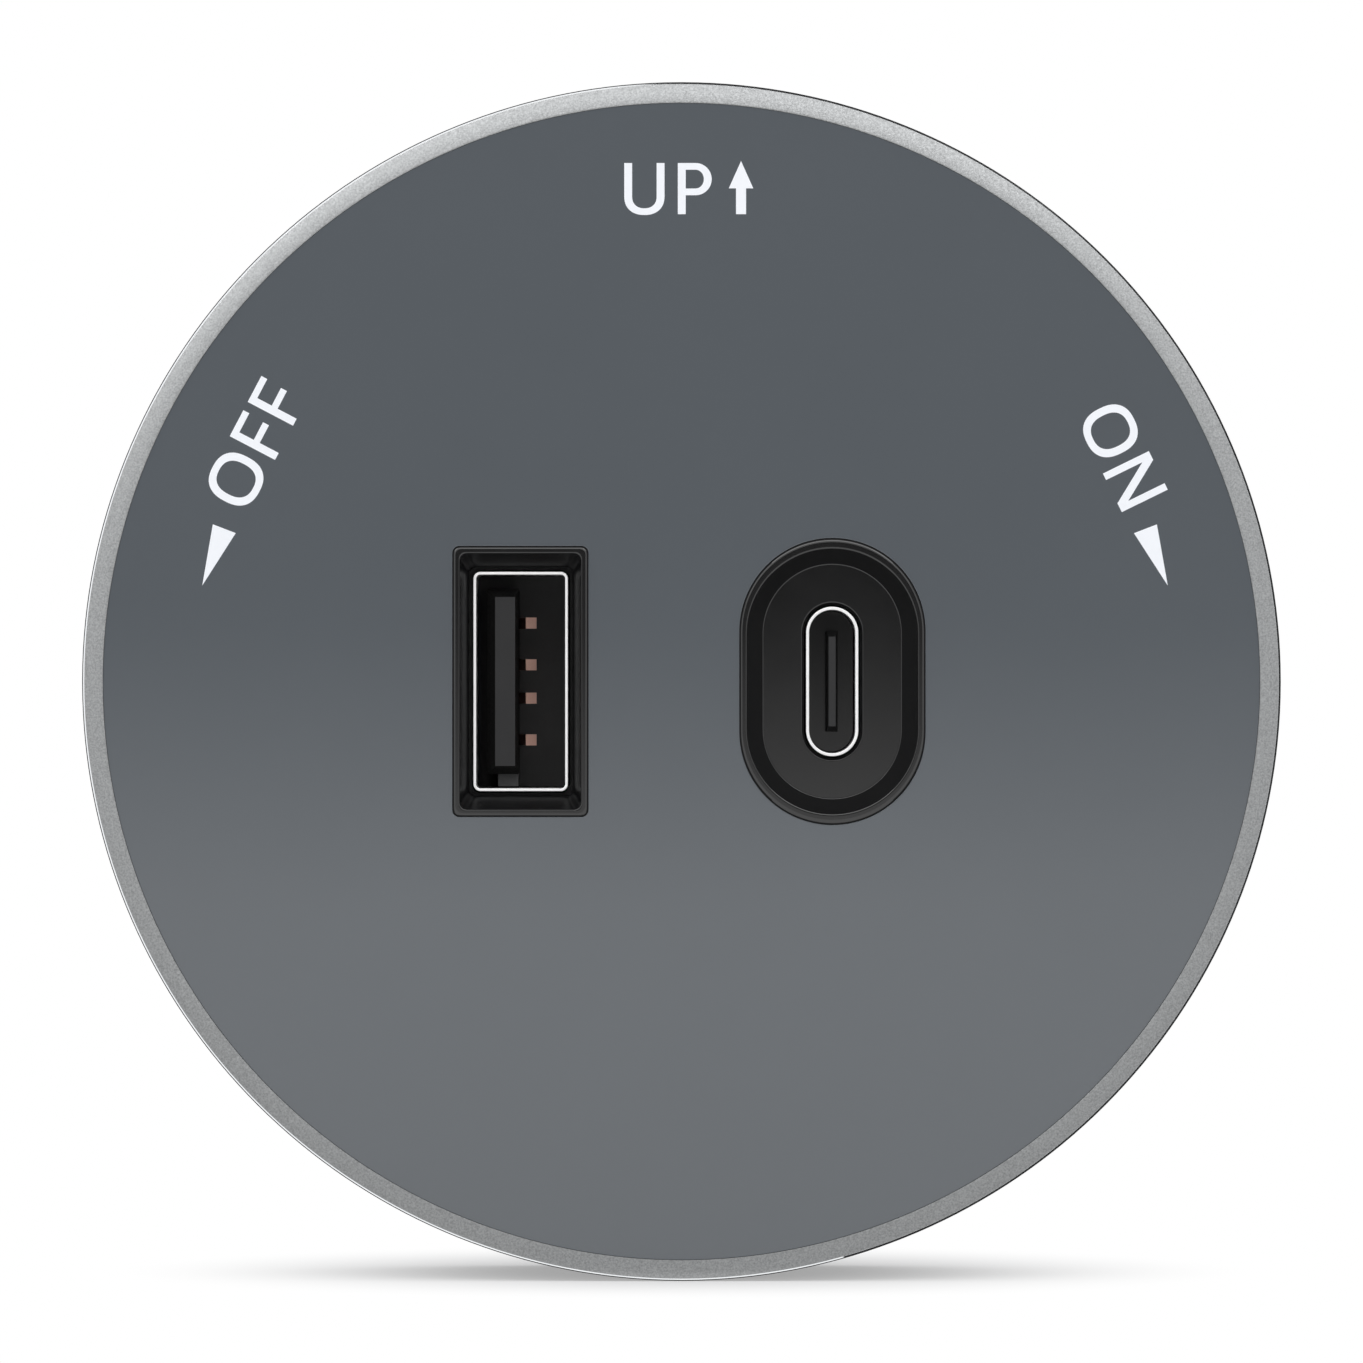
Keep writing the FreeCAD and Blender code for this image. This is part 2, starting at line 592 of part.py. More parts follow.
def usb_a_contacts():
    """Four leaves that lie along the tongue and bow away from it near the tip."""
    side = usb_a_leaf_side()
    tip = MOUTH + USB_A_TONGUE_SETBACK
    root = MOUTH + USB_A_CAVITY_DEPTH + LEAF_NOTCH_DEPTH
    thick = LEAF_THICKNESS
    outer = [
        (thick, tip + LEAF_TIP_SETBACK),
        (LEAF_BOW / 2, tip + LEAF_RAMP_START),
        (LEAF_BOW, tip + LEAF_CREST_START),
        (LEAF_BOW, tip + LEAF_CREST_END),
        (thick, tip + LEAF_FOOT_START),
        (thick, root),
    ]
    inner = [
        (0.0, root),
        (0.0, tip + LEAF_FOOT_START),
        (LEAF_BOW - thick, tip + LEAF_CREST_END),
        (LEAF_BOW - thick, tip + LEAF_CREST_START + thick / 2),
        (LEAF_BOW / 2 - thick, tip + LEAF_RAMP_START + thick / 2),
        (0.0, tip + LEAF_TIP_SETBACK + thick),
        (0.0, tip + LEAF_TIP_SETBACK),
    ]
    leaves = []
    for z in LEAF_POSITIONS:
        points = [V(side + out, y, z - LEAF_WIDTH / 2) for out, y in outer + inner]
        face = Part.Face(Part.makePolygon(points + points[:1]))
        leaves.append(face.extrude(V(0, 0, LEAF_WIDTH)))
    return leaves


def usb_c_shell():
    """Drawn metal shell of the small outlet, round-ended and open at the front."""
    outer = prism(
        USB_C_SHELL_WIDTH, USB_C_SHELL_HEIGHT, USB_C_SHELL_WIDTH / 2, MOUTH, BOARD_FRONT, USB_C_X)
    width = USB_C_SHELL_WIDTH - 2 * USB_C_SHELL_WALL
    height = USB_C_SHELL_HEIGHT - 2 * USB_C_SHELL_WALL
    return outer.cut(prism(width, height, width / 2, MOUTH, BOARD_FRONT, USB_C_X))


def usb_c_contacts():
    """Two rows of flat pads let into the faces of the small tongue."""
    first = MOUTH + USB_C_TONGUE_SETBACK + USB_C_TONGUE_CHAMFER_DEPTH + PAD_THICKNESS
    last = MOUTH + USB_C_CAVITY_DEPTH + PAD_ROOT
    face = USB_C_TONGUE_THICKNESS / 2
    pads = []
    for side in SIDES:
        for index in range(PAD_COUNT):
            z = (index - (PAD_COUNT - 1) / 2) * PAD_PITCH
            x = USB_C_X + side * (face - PAD_THICKNESS / 2)
            centre = V(x, (first + last) / 2, z)
            pads.append(block(centre, PAD_THICKNESS, last - first, PAD_WIDTH))
    return pads


def usb_c_insulator():
    """Block that fills the back of the small outlet, with its thin tongue."""
    wall = 2 * (USB_C_SHELL_WALL + MOULD_GAP)
    cavity_floor = MOUTH + USB_C_CAVITY_DEPTH
    width = USB_C_SHELL_WIDTH - wall
    base = prism(
        width, USB_C_SHELL_HEIGHT - wall, width / 2, cavity_floor, BOARD_FRONT, USB_C_X)
    tip = MOUTH + USB_C_TONGUE_SETBACK
    shoulder = tip + USB_C_TONGUE_CHAMFER_DEPTH
    tongue = prism(USB_C_TONGUE_THICKNESS, USB_C_TONGUE_HEIGHT, 0, shoulder, cavity_floor, USB_C_X)
    nose = tapered(
        outline(USB_C_TONGUE_THICKNESS - 2 * USB_C_TONGUE_CHAMFER,
                USB_C_TONGUE_HEIGHT - 2 * USB_C_TONGUE_END_CHAMFER, 0, tip, USB_C_X),
        outline(USB_C_TONGUE_THICKNESS, USB_C_TONGUE_HEIGHT, 0, shoulder, USB_C_X))
    return base.fuse([tongue, nose]).cut(usb_c_contacts()).removeSplitter()


def port_carrier():
    """Plate behind the face that steadies both outlets and holds the circuit board on four posts."""
    plate = disc(BORE_RADIUS - PLATE_FIT, CARRIER_FRONT, CARRIER_BACK)
    posts = [
        disc(POST_DIAMETER / 2, CARRIER_BACK, BOARD_FRONT, *on_circle(POST_CIRCLE, angle))
        for angle in POST_ANGLES
    ]
    pilot = COVER_SCREW_THREAD / 2 + THREAD_GAP
    holes = [
        disc(pilot, CARRIER_BACK, BOARD_FRONT, *on_circle(POST_CIRCLE, angle))
        for angle in POST_ANGLES
    ]
    opening_a = prism(
        USB_A_SHELL_WIDTH + 2 * PLATE_FIT, USB_A_SHELL_HEIGHT + 2 * PLATE_FIT,
        USB_A_SHELL_CORNER + PLATE_FIT, CARRIER_FRONT, CARRIER_BACK, USB_A_X)
    width_c = USB_C_SHELL_WIDTH + 2 * PLATE_FIT
    opening_c = prism(
        width_c, USB_C_SHELL_HEIGHT + 2 * PLATE_FIT, width_c / 2, CARRIER_FRONT, CARRIER_BACK,
        USB_C_X)
    return plate.fuse(posts).cut(holes + rib_blocks(PLATE_FIT) + [opening_a, opening_c])


def circuit_board():
    """Round board with screw holes and a slot for each conductor that comes through from the key."""
    board = disc(BOARD_RADIUS, BOARD_FRONT, BOARD_BACK)
    hole = COVER_SCREW_THREAD / 2 + SCREW_CLEARANCE
    cuts = [
        disc(hole, BOARD_FRONT, BOARD_BACK, *on_circle(POST_CIRCLE, angle))
        for angle in POST_ANGLES
    ]
    for x in (-STRIP_SPACING, 0.0, STRIP_SPACING):
        cuts.append(prism(
            STRIP_THICKNESS + 2 * STRIP_FIT, STRIP_WIDTH + 2 * STRIP_FIT, 0,
            BOARD_FRONT, BOARD_BACK, x))
    return board.cut(cuts)


def board_layout():
    """X and Z of each part on the board, in rows between the outlets, the posts and the edge."""
    post_x, post_z = (at - POST_DIAMETER / 2 for at in on_circle(POST_CIRCLE, POST_START_ANGLE))
    strip_edge = STRIP_WIDTH / 2
    chip_z, transformer_z = in_a_row(strip_edge, BOARD_RADIUS, [CHIP_LENGTH, TRANSFORMER_LENGTH])
    low_chip_z, low_row_z = in_a_row(strip_edge, BOARD_RADIUS, [CHIP_LENGTH, X_CAPACITOR_LENGTH])
    low_row = in_a_row(-post_x, post_x, [
        BRIDGE_WIDTH, X_CAPACITOR_WIDTH, CHOKE_CORE_WIDTH + 2 * CHOKE_WIRE_BUILD, VARISTOR_THICKNESS])
    output_x, inductor_x = in_a_row(
        USB_C_X + USB_C_SHELL_WIDTH / 2, BOARD_RADIUS, [OUTPUT_CAPACITOR_DIAMETER, INDUCTOR_SIDE])
    fuse_z, low_can_z, high_can_z, y_capacitor_z = in_a_row(-post_z, post_z, [
        FUSE_DIAMETER, OUTPUT_CAPACITOR_DIAMETER, OUTPUT_CAPACITOR_DIAMETER, Y_CAPACITOR_DIAMETER])
    bulk_x = in_a_row(-BOARD_RADIUS, USB_A_X - USB_A_SHELL_WIDTH / 2, [TALL_PART_HEIGHT])[0]
    bulk_row = in_a_row(-post_z, post_z, [BULK_CAPACITOR_LENGTH] * 2)
    side_chip_z = -INDUCTOR_SIDE / 2 - CHIP_TO_INDUCTOR - CHIP_LENGTH / 2
    return {
        "transformer": (0.0, transformer_z),
        "bridge_rectifier": (low_row[0], -low_row_z),
        "x_capacitor": (low_row[1], -low_row_z),
        "choke": (low_row[2], -low_row_z),
        "varistor": (low_row[3], -low_row_z),
        "fuse": (output_x, fuse_z),
        "output_capacitors": [(output_x, low_can_z), (output_x, high_can_z)],
        "y_capacitor": (output_x, y_capacitor_z),
        "output_inductor": (inductor_x, 0.0),
        "bulk_capacitors": [(bulk_x, middle) for middle in bulk_row],
        "control_chips": [(0.0, chip_z), (0.0, -low_chip_z), (inductor_x, side_chip_z)],
    }


LAYOUT = board_layout()


def bobbin_height():
    """Height of the bobbin, which stands on the board itself."""
    return TALL_PART_HEIGHT + BOARD_SEAT


def transformer_centre():
    """Middle of the transformer, whose bobbin stands on the board."""
    x, z = LAYOUT["transformer"]
    return V(x, BOARD_FRONT - bobbin_height() / 2, z)


def window_length():
    """Length of the windows between the legs of the core."""
    return TRANSFORMER_LENGTH - 2 * CORE_YOKE


def leg_sleeve(grow, length):
    """Block round the middle leg of the core that stands off it by a wall."""
    return block(transformer_centre(), CORE_LEG + 2 * grow, CORE_THICKNESS + 2 * grow, length)


def transformer_core():
    """Ferrite core with a middle leg and two windows."""
    centre = transformer_centre()
    core = block(centre, TRANSFORMER_WIDTH, CORE_THICKNESS, TRANSFORMER_LENGTH)
    window_width = (TRANSFORMER_WIDTH - CORE_LEG) / 2 - CORE_SIDE
    middle = (CORE_LEG + window_width) / 2
    windows = [
        block(centre + V(way * middle, 0, 0), window_width, CORE_THICKNESS, window_length())
        for way in SIDES
    ]
    return core.cut(windows)


def transformer_bobbin():
    """Square tube round the middle leg, with a flange at each end that stands on the board."""
    centre = transformer_centre()
    length = window_length() - 2 * RUNNING_FIT
    flange_width = TRANSFORMER_WIDTH - 2 * (CORE_SIDE + PLATE_FIT)
    tube = leg_sleeve(RUNNING_FIT + BOBBIN_WALL, length)
    flanges = []
    for way in SIDES:
        middle = centre + V(0, 0, way * (length - BOBBIN_FLANGE) / 2)
        flanges.append(block(middle, flange_width, bobbin_height(), BOBBIN_FLANGE))
    return tube.fuse(flanges).cut(leg_sleeve(RUNNING_FIT, length)).removeSplitter()


def transformer_winding():
    """Wound and taped copper between the flanges of the bobbin."""
    length = window_length() - 2 * (RUNNING_FIT + BOBBIN_FLANGE)
    width = TRANSFORMER_WIDTH - 2 * (CORE_SIDE + BODY_GAP)
    coil_block = block(transformer_centre(), width, bobbin_height() - 2 * WINDING_INSET, length)
    long_edges = [e for e in coil_block.Edges if abs(e.BoundBox.ZLength - length) < 1e-6]
    coil_block = coil_block.makeFillet(WINDING_ROUND, long_edges)
    return coil_block.cut(leg_sleeve(RUNNING_FIT + BOBBIN_WALL, length))


def can(radius, length, crimp_at):
    """Capacitor can along Z from the origin, with rounded rims and a rolled groove."""
    shape = Part.makeCylinder(radius, length)
    rims = [e for e in shape.Edges if e.BoundBox.ZLength < 1e-6]
    shape = shape.makeFillet(CAN_EDGE_ROUND, rims)
    outer = Part.makeCylinder(radius + CRIMP_DEPTH, CRIMP_WIDTH, V(0, 0, crimp_at))
    inner = Part.makeCylinder(radius - CRIMP_DEPTH, CRIMP_WIDTH, V(0, 0, crimp_at))
    return shape.cut(outer.cut(inner))


def bulk_capacitors():
    """Two cans that lie on the board beside the wide outlet."""
    radius = TALL_PART_HEIGHT / 2
    shape = can(radius, BULK_CAPACITOR_LENGTH, 2 * CRIMP_WIDTH)
    cans = []
    for x, z in LAYOUT["bulk_capacitors"]:
        copy = shape.copy()
        copy.translate(V(x, BOARD_FRONT - BOARD_SEAT - radius, z - BULK_CAPACITOR_LENGTH / 2))
        cans.append(copy)
    return cans


def output_capacitors():
    """Two cans that stand on the board beside the small outlet."""
    cans = []
    for x, z in LAYOUT["output_capacitors"]:
        copy = can(OUTPUT_CAPACITOR_DIAMETER / 2, TALL_PART_HEIGHT, CRIMP_WIDTH)
        upright = FreeCAD.Rotation(ALONG_Z, V(0, -1, 0))
        copy.Placement = FreeCAD.Placement(V(x, BOARD_FRONT - BOARD_SEAT, z), upright)
        cans.append(copy)
    return cans


def standing_disc(name, diameter, thickness):
    """Dipped disc part that stands on its rim, with soft edges."""
    x, z = LAYOUT[name]
    radius = diameter / 2
    y = BOARD_FRONT - BOARD_SEAT - radius
    shape = rod_x(radius, x - thickness / 2, x + thickness / 2, y, z)
    rims = [e for e in shape.Edges if e.BoundBox.XLength < 1e-6]
    return shape.makeFillet(DISC_EDGE_ROUND, rims)


def on_board(at, width, length, height):
    """Box that sits on the board."""
    x, z = at
    return block(V(x, BOARD_FRONT - BOARD_SEAT - height / 2, z), width, height, length)


def front_edges(shape):
    """Edges of the face that looks towards the user."""
    return edges_in_plane(shape, shape.BoundBox.YMin)


def x_capacitor():
    """Boxed film capacitor."""
    shape = on_board(LAYOUT["x_capacitor"], X_CAPACITOR_WIDTH, X_CAPACITOR_LENGTH, TALL_PART_HEIGHT)
    return shape.makeFillet(CAN_EDGE_ROUND, front_edges(shape))


def choke_centre():
    """Middle of the ring core, which stands on its rim."""
    x, z = LAYOUT["choke"]
    return V(x, BOARD_FRONT - BOARD_SEAT - TALL_PART_HEIGHT / 2, z)


def choke_core():
    """Ring core about an axis along X."""
    centre = choke_centre()
    start, end = centre.x - CHOKE_CORE_WIDTH / 2, centre.x + CHOKE_CORE_WIDTH / 2
    outer = rod_x(CHOKE_CORE_RADIUS, start, end, centre.y, centre.z)
    return outer.cut(rod_x(CHOKE_CORE_BORE, start, end, centre.y, centre.z))


def choke_windings():
    """A wound sleeve on each half of the ring core."""
    centre = choke_centre()
    inner, outer = CHOKE_CORE_BORE - CHOKE_WIRE_BUILD, CHOKE_CORE_RADIUS + CHOKE_WIRE_BUILD
    half = CHOKE_CORE_WIDTH / 2 + CHOKE_WIRE_BUILD
    sleeves = []
    for way in SIDES:
        points = [
            centre + V(x, 0, way * z)
            for x, z in ((-half, inner), (half, inner), (half, outer), (-half, outer))
        ]
        face = Part.Face(Part.makePolygon(points + points[:1]))
        face.rotate(centre, ALONG_X, -CHOKE_WINDING_SWEEP / 2)
        sleeve = face.revolve(centre, ALONG_X, CHOKE_WINDING_SWEEP)
        sleeves.append(sleeve.cut(choke_core()))
    return sleeves


def fuse():
    """Round moulded fuse that stands on the board."""
    x, z = LAYOUT["fuse"]
    back = BOARD_FRONT - BOARD_SEAT
    shape = disc(FUSE_DIAMETER / 2, back - FUSE_HEIGHT, back, x, z)
    return shape.makeFillet(CAN_EDGE_ROUND, front_edges(shape))


def bridge_rectifier():
    """Flat moulded bridge with its front edges broken."""
    shape = on_board(LAYOUT["bridge_rectifier"], BRIDGE_WIDTH, BRIDGE_LENGTH, BRIDGE_HEIGHT)
    return shape.makeChamfer(CAN_EDGE_ROUND, front_edges(shape))


def control_chips():
    """Three small moulded chips."""
    chips = []
    for at in LAYOUT["control_chips"]:
        shape = on_board(at, CHIP_WIDTH, CHIP_LENGTH, CHIP_HEIGHT)
        chips.append(shape.makeChamfer(CAN_EDGE_ROUND / 2, front_edges(shape)))
    return chips


def output_inductor():
    """Shielded inductor with cut corners."""
    shape = on_board(LAYOUT["output_inductor"], INDUCTOR_SIDE, INDUCTOR_SIDE, INDUCTOR_HEIGHT)
    upright = [e for e in shape.Edges if abs(e.BoundBox.YLength - INDUCTOR_HEIGHT) < 1e-6]
    return shape.makeChamfer(INDUCTOR_CORNER, upright)


def rear_cover():
    """Disc that closes the back, turns on the hub of the foot and carries the key bridge."""
    edge = HOUSING_RADIUS - COVER_EDGE_STEP
    plate = disc(edge, COVER_FRONT, COVER_BACK)
    plate = plate.makeFillet(COVER_EDGE_ROUND, edges_in_plane(plate, COVER_BACK))
    spigot_radius = BORE_RADIUS - PLATE_FIT
    spigot = ring(spigot_radius, spigot_radius - SPIGOT_WALL, SPIGOT_FRONT, COVER_FRONT)
    pieces = [spigot]
    cuts = [disc(HUB_RADIUS + RUNNING_FIT, COVER_FRONT, COVER_BACK)]
    head_seat = COVER_BACK - COVER_SCREW_SINK
    for angle in POST_ANGLES:
        at = on_circle(POST_CIRCLE, angle)
        pieces.append(disc(POST_DIAMETER / 2, BOARD_BACK, COVER_FRONT, *at))
        cuts.append(disc(COVER_SCREW_THREAD / 2 + SCREW_CLEARANCE, BOARD_BACK, COVER_BACK, *at))
        cuts.append(disc(COVER_SCREW_HEAD / 2 + SCREW_CLEARANCE, head_seat, COVER_BACK, *at))
    for angle in POST_SCREW_ANGLES:
        at = on_circle(KEY_BRIDGE_SCREW_CIRCLE, angle)
        pieces.append(disc(KEY_POST_DIAMETER / 2, BRIDGE_BACK, COVER_FRONT, *at))
        pilot_end = BRIDGE_BACK + POST_SCREW_BITE + SLIP_GAP
        cuts.append(disc(SMALL_THREAD / 2 + THREAD_GAP, BRIDGE_BACK, pilot_end, *at))
    cuts.append(stop_groove())
    return plate.fuse(pieces).cut(cuts).removeSplitter()


def stop_groove():
    """Arc in the back of the cover in which the peg of the foot runs from stop to stop."""
    half = STOP_PEG_DIAMETER / 2 + SLIP_GAP
    front = COVER_BACK - STOP_GROOVE_DEPTH - SLIP_GAP
    inner, outer = STOP_PEG_CIRCLE - half, STOP_PEG_CIRCLE + half
    corners = [V(inner, front, 0), V(outer, front, 0), V(outer, COVER_BACK, 0), V(inner, COVER_BACK, 0)]
    face = Part.Face(Part.makePolygon(corners + corners[:1]))
    face.rotate(V(0, 0, 0), V(0, -1, 0), STOP_PEG_ANGLE)
    arc = face.revolve(V(0, 0, 0), V(0, -1, 0), TWIST_ANGLE)
    ends = [
        disc(half, front, COVER_BACK, *on_circle(STOP_PEG_CIRCLE, angle))
        for angle in (STOP_PEG_ANGLE, STOP_PEG_ANGLE + TWIST_ANGLE)
    ]
    return arc.fuse(ends)


def rear_cover_screws():
    """Long screws from the back of the cover into the posts of the port carrier."""
    seat = COVER_BACK - COVER_SCREW_SINK
    length = seat - BOARD_FRONT + COVER_SCREW_BITE
    return [
        screw(at_angle(POST_CIRCLE, angle, seat), V(0, -1, 0), COVER_SCREW_THREAD,
              COVER_SCREW_HEAD, COVER_SCREW_HEAD_HEIGHT, length)
        for angle in POST_ANGLES
    ]


def track_foot():
    """Foot that seats on the track, keeps its ears in the slot and carries the turning body."""
    radius = FOOT_DIAMETER / 2
    plate = disc(radius, FOOT_FRONT, 0.0)
    plate = plate.makeFillet(FOOT_EDGE_ROUND, edges_in_plane(plate, 0.0))
    hub = disc(HUB_RADIUS, HUB_FRONT, FOOT_FRONT)
    ear_width = EAR_OUTER_X - EAR_INNER_X
    ear_height = SLOT_WIDTH - 2 * EAR_SLOT_GAP
    ear_x = (EAR_OUTER_X + EAR_INNER_X) / 2
    ears = [
        prism(ear_width, ear_height, EAR_CORNER, 0.0, EAR_HEIGHT, way * ear_x) for way in SIDES
    ]
    rib_low = V(ear_x - KEYING_RIB_WIDTH / 2, 0.0, 0.0)
    rib_high = V(ear_x + KEYING_RIB_WIDTH / 2, EAR_HEIGHT, ear_height / 2 + KEYING_RIB_HEIGHT)
    peg = disc(
        STOP_PEG_DIAMETER / 2, FOOT_FRONT - STOP_PEG_LENGTH, FOOT_FRONT,
        *on_circle(STOP_PEG_CIRCLE, STOP_PEG_ANGLE))
    whole = plate.fuse([hub, peg, box_between(rib_low, rib_high)] + ears)
    cuts = [
        disc(HUB_BORE / 2, HUB_FRONT, FOOT_FRONT),
        disc(NECK_RADIUS + SLIP_GAP, FOOT_FRONT, 0.0),
        ring(HUB_RADIUS + CUT_MARGIN, HUB_RADIUS - RING_GROOVE_DEPTH, GROOVE_FRONT, WASHER_FRONT),
    ]
    return whole.cut(cuts).removeSplitter()


def retaining_ring():
    """Open steel ring that snaps into the groove of the hub."""
    inner = HUB_RADIUS - RING_GROOVE_DEPTH + RUNNING_FIT
    outer = HUB_RADIUS + RING_REACH
    gap = box_between(
        V(-RING_OPENING / 2, CLIP_FRONT, 0), V(RING_OPENING / 2, CLIP_BACK, outer + CUT_MARGIN))
    return ring(outer, inner, CLIP_FRONT, CLIP_BACK).cut(gap)


def thrust_washer():
    """Slip washer between the retaining ring and the rear cover."""
    return ring(HUB_RADIUS + WASHER_REACH, HUB_RADIUS + PLATE_FIT, WASHER_FRONT, WASHER_BACK)


def key_bridge():
    """Plate that ties the key to the rear cover and keeps it square."""
    plate = disc(KEY_BRIDGE_RADIUS, BRIDGE_FRONT, BRIDGE_BACK)
    cuts = [disc(NECK_RADIUS + PLATE_FIT, BRIDGE_FRONT, BRIDGE_BACK)]
    hole = SMALL_THREAD / 2 + SCREW_CLEARANCE
    circles = (
        (KEY_BRIDGE_SCREW_CIRCLE, POST_SCREW_ANGLES),
        (KEY_FLANGE_SCREW_CIRCLE, FLANGE_SCREW_ANGLES),
    )
    for radius, angles in circles:
        for angle in angles:
            cuts.append(disc(hole, BRIDGE_FRONT, BRIDGE_BACK, *on_circle(radius, angle)))
    return plate.cut(cuts)


def small_screws(radius, angles, bite):
    """Short screws that go through the bridge from the front."""
    return [
        screw(at_angle(radius, angle, BRIDGE_FRONT), ALONG_Y, SMALL_THREAD, SMALL_HEAD,
              SMALL_HEAD_HEIGHT, KEY_BRIDGE_THICKNESS + bite)
        for angle in angles
    ]


def bridge_screws():
    """Screws from the bridge into the posts of the rear cover."""
    return small_screws(KEY_BRIDGE_SCREW_CIRCLE, POST_SCREW_ANGLES, POST_SCREW_BITE)


def key_screws():
    """Screws from the bridge into the flange of the key, two in each half."""
    return small_screws(KEY_FLANGE_SCREW_CIRCLE, FLANGE_SCREW_ANGLES, FLANGE_SCREW_BITE)


def strip_room(x, y_end, y_start):
    """Space in the key for one straight conductor."""
    return prism(
        STRIP_THICKNESS + 2 * STRIP_FIT, STRIP_WIDTH + 2 * STRIP_FIT, 0, y_start, y_end + STRIP_FIT, x)


def contact_room(depth):
    """Bore for one sprung contact on the +X side, from the conductor to the tip of the head."""
    bore = rod_x(COLLAR_RADIUS + RUNNING_FIT, STRIP_FACE, SHOULDER, depth)
    return bore.fuse(rod_x(NOSE_RADIUS + RUNNING_FIT, SHOULDER, HEAD_RADIUS + CUT_MARGIN, depth))


def clamp_seat():
    """Height of the seats of the clamp screws."""
    return HEAD_WIDTH / 2 - CLAMP_HEAD_HEIGHT - PLATE_FIT


def clamp_y():
    """Depth of the clamp screws, midway between the two rows of contacts."""
    return (LIVE_CONTACT_DEPTH + EARTH_CONTACT_DEPTH) / 2


def whole_key():
    """Flange, neck and T-shaped head as one body, before it is split along z = 0."""
    head = disc(HEAD_RADIUS, LIP_SPACE, HEAD_BACK)
    head = head.makeChamfer(HEAD_CHAMFER, edges_in_plane(head, HEAD_BACK))
    slab_low = V(-HEAD_RADIUS, LIP_SPACE, -HEAD_WIDTH / 2)
    head = head.common(box_between(slab_low, V(HEAD_RADIUS, HEAD_BACK, HEAD_WIDTH / 2)))
    flange = disc(HUB_BORE / 2 - SLIP_GAP, BRIDGE_BACK, FLANGE_BACK)
    key = disc(NECK_RADIUS, KEY_FRONT, LIP_SPACE).fuse([flange, head])
    cuts = [strip_room(way * STRIP_SPACING, LIVE_STRIP_END, KEY_FRONT) for way in SIDES]
    cuts.append(strip_room(0.0, EARTH_BAR_START, KEY_FRONT))
    bar_low = V(-STRIP_FACE, EARTH_BAR_START - STRIP_FIT, -STRIP_WIDTH / 2 - STRIP_FIT)
    bar_high = V(STRIP_FACE, EARTH_BAR_END + STRIP_FIT, STRIP_WIDTH / 2 + STRIP_FIT)
    cuts.append(box_between(bar_low, bar_high))
    for depth in (LIVE_CONTACT_DEPTH, EARTH_CONTACT_DEPTH):
        room = contact_room(depth)
        cuts += [room, mirrored(room)]
    for angle in FLANGE_SCREW_ANGLES:
        at = on_circle(KEY_FLANGE_SCREW_CIRCLE, angle)
        pilot_end = BRIDGE_BACK + FLANGE_SCREW_BITE + SLIP_GAP
        cuts.append(disc(SMALL_THREAD / 2 + THREAD_GAP, BRIDGE_BACK, pilot_end, *at))
    seat = clamp_seat()
    for way in SIDES:
        x = way * CLAMP_SCREW_X
        cuts.append(Part.makeCylinder(CLAMP_THREAD / 2 + THREAD_GAP, 2 * seat, V(x, clamp_y(), -seat)))
        cuts.append(Part.makeCylinder(CLAMP_HEAD / 2 + PLATE_FIT, HEAD_WIDTH / 2, V(x, clamp_y(), seat)))
    return key.cut(cuts)


def key_half(way):
    """One half of the key: the upper for +1, the lower for -1."""
    reach = HEAD_DIAMETER
    z_low, z_high = (0.0, reach) if way > 0 else (-reach, 0.0)
    room = box_between(V(-reach, KEY_FRONT - CUT_MARGIN, z_low), V(reach, HEAD_BACK + CUT_MARGIN, z_high))
    return whole_key().common(room)


def clamp_screws():
    """Screws that draw the two halves of the head together."""
    seat = clamp_seat()
    return [
        screw(V(way * CLAMP_SCREW_X, clamp_y(), seat), V(0, 0, -1), CLAMP_THREAD, CLAMP_HEAD,
              CLAMP_HEAD_HEIGHT, 2 * seat - SLIP_GAP)
        for way in SIDES
    ]


def live_strip():
    """Copper strip on the +X side, from the floor of its contact's bore to the circuit board."""
    return prism(STRIP_THICKNESS, STRIP_WIDTH, 0, STRIP_START, LIVE_STRIP_END, STRIP_SPACING)


def earth_strip():
    """Middle strip with a cross bar that makes the floor of both earth bores."""
    stem = prism(STRIP_THICKNESS, STRIP_WIDTH, 0, STRIP_START, EARTH_BAR_START)
    bar = prism(2 * STRIP_FACE, STRIP_WIDTH, 0, EARTH_BAR_START, EARTH_BAR_END)
    return stem.fuse(bar).removeSplitter()


def contact(depth):
    """Plunger on the +X side: round nose, collar that stops at the shoulder, and spring spigot."""
    dome_centre = NOSE_TIP - NOSE_RADIUS
    nose = rod_x(NOSE_RADIUS, COLLAR_OUTER_X, dome_centre, depth)
    dome = Part.makeSphere(NOSE_RADIUS, V(dome_centre, depth, 0))
    collar = rod_x(COLLAR_RADIUS, COLLAR_INNER_X, COLLAR_OUTER_X, depth)
    spigot_start = COLLAR_INNER_X - CONTACT_SPIGOT_LENGTH
    spigot = rod_x(CONTACT_SPIGOT_DIAMETER / 2, spigot_start, COLLAR_INNER_X, depth)
    return nose.fuse([dome, collar, spigot]).removeSplitter()


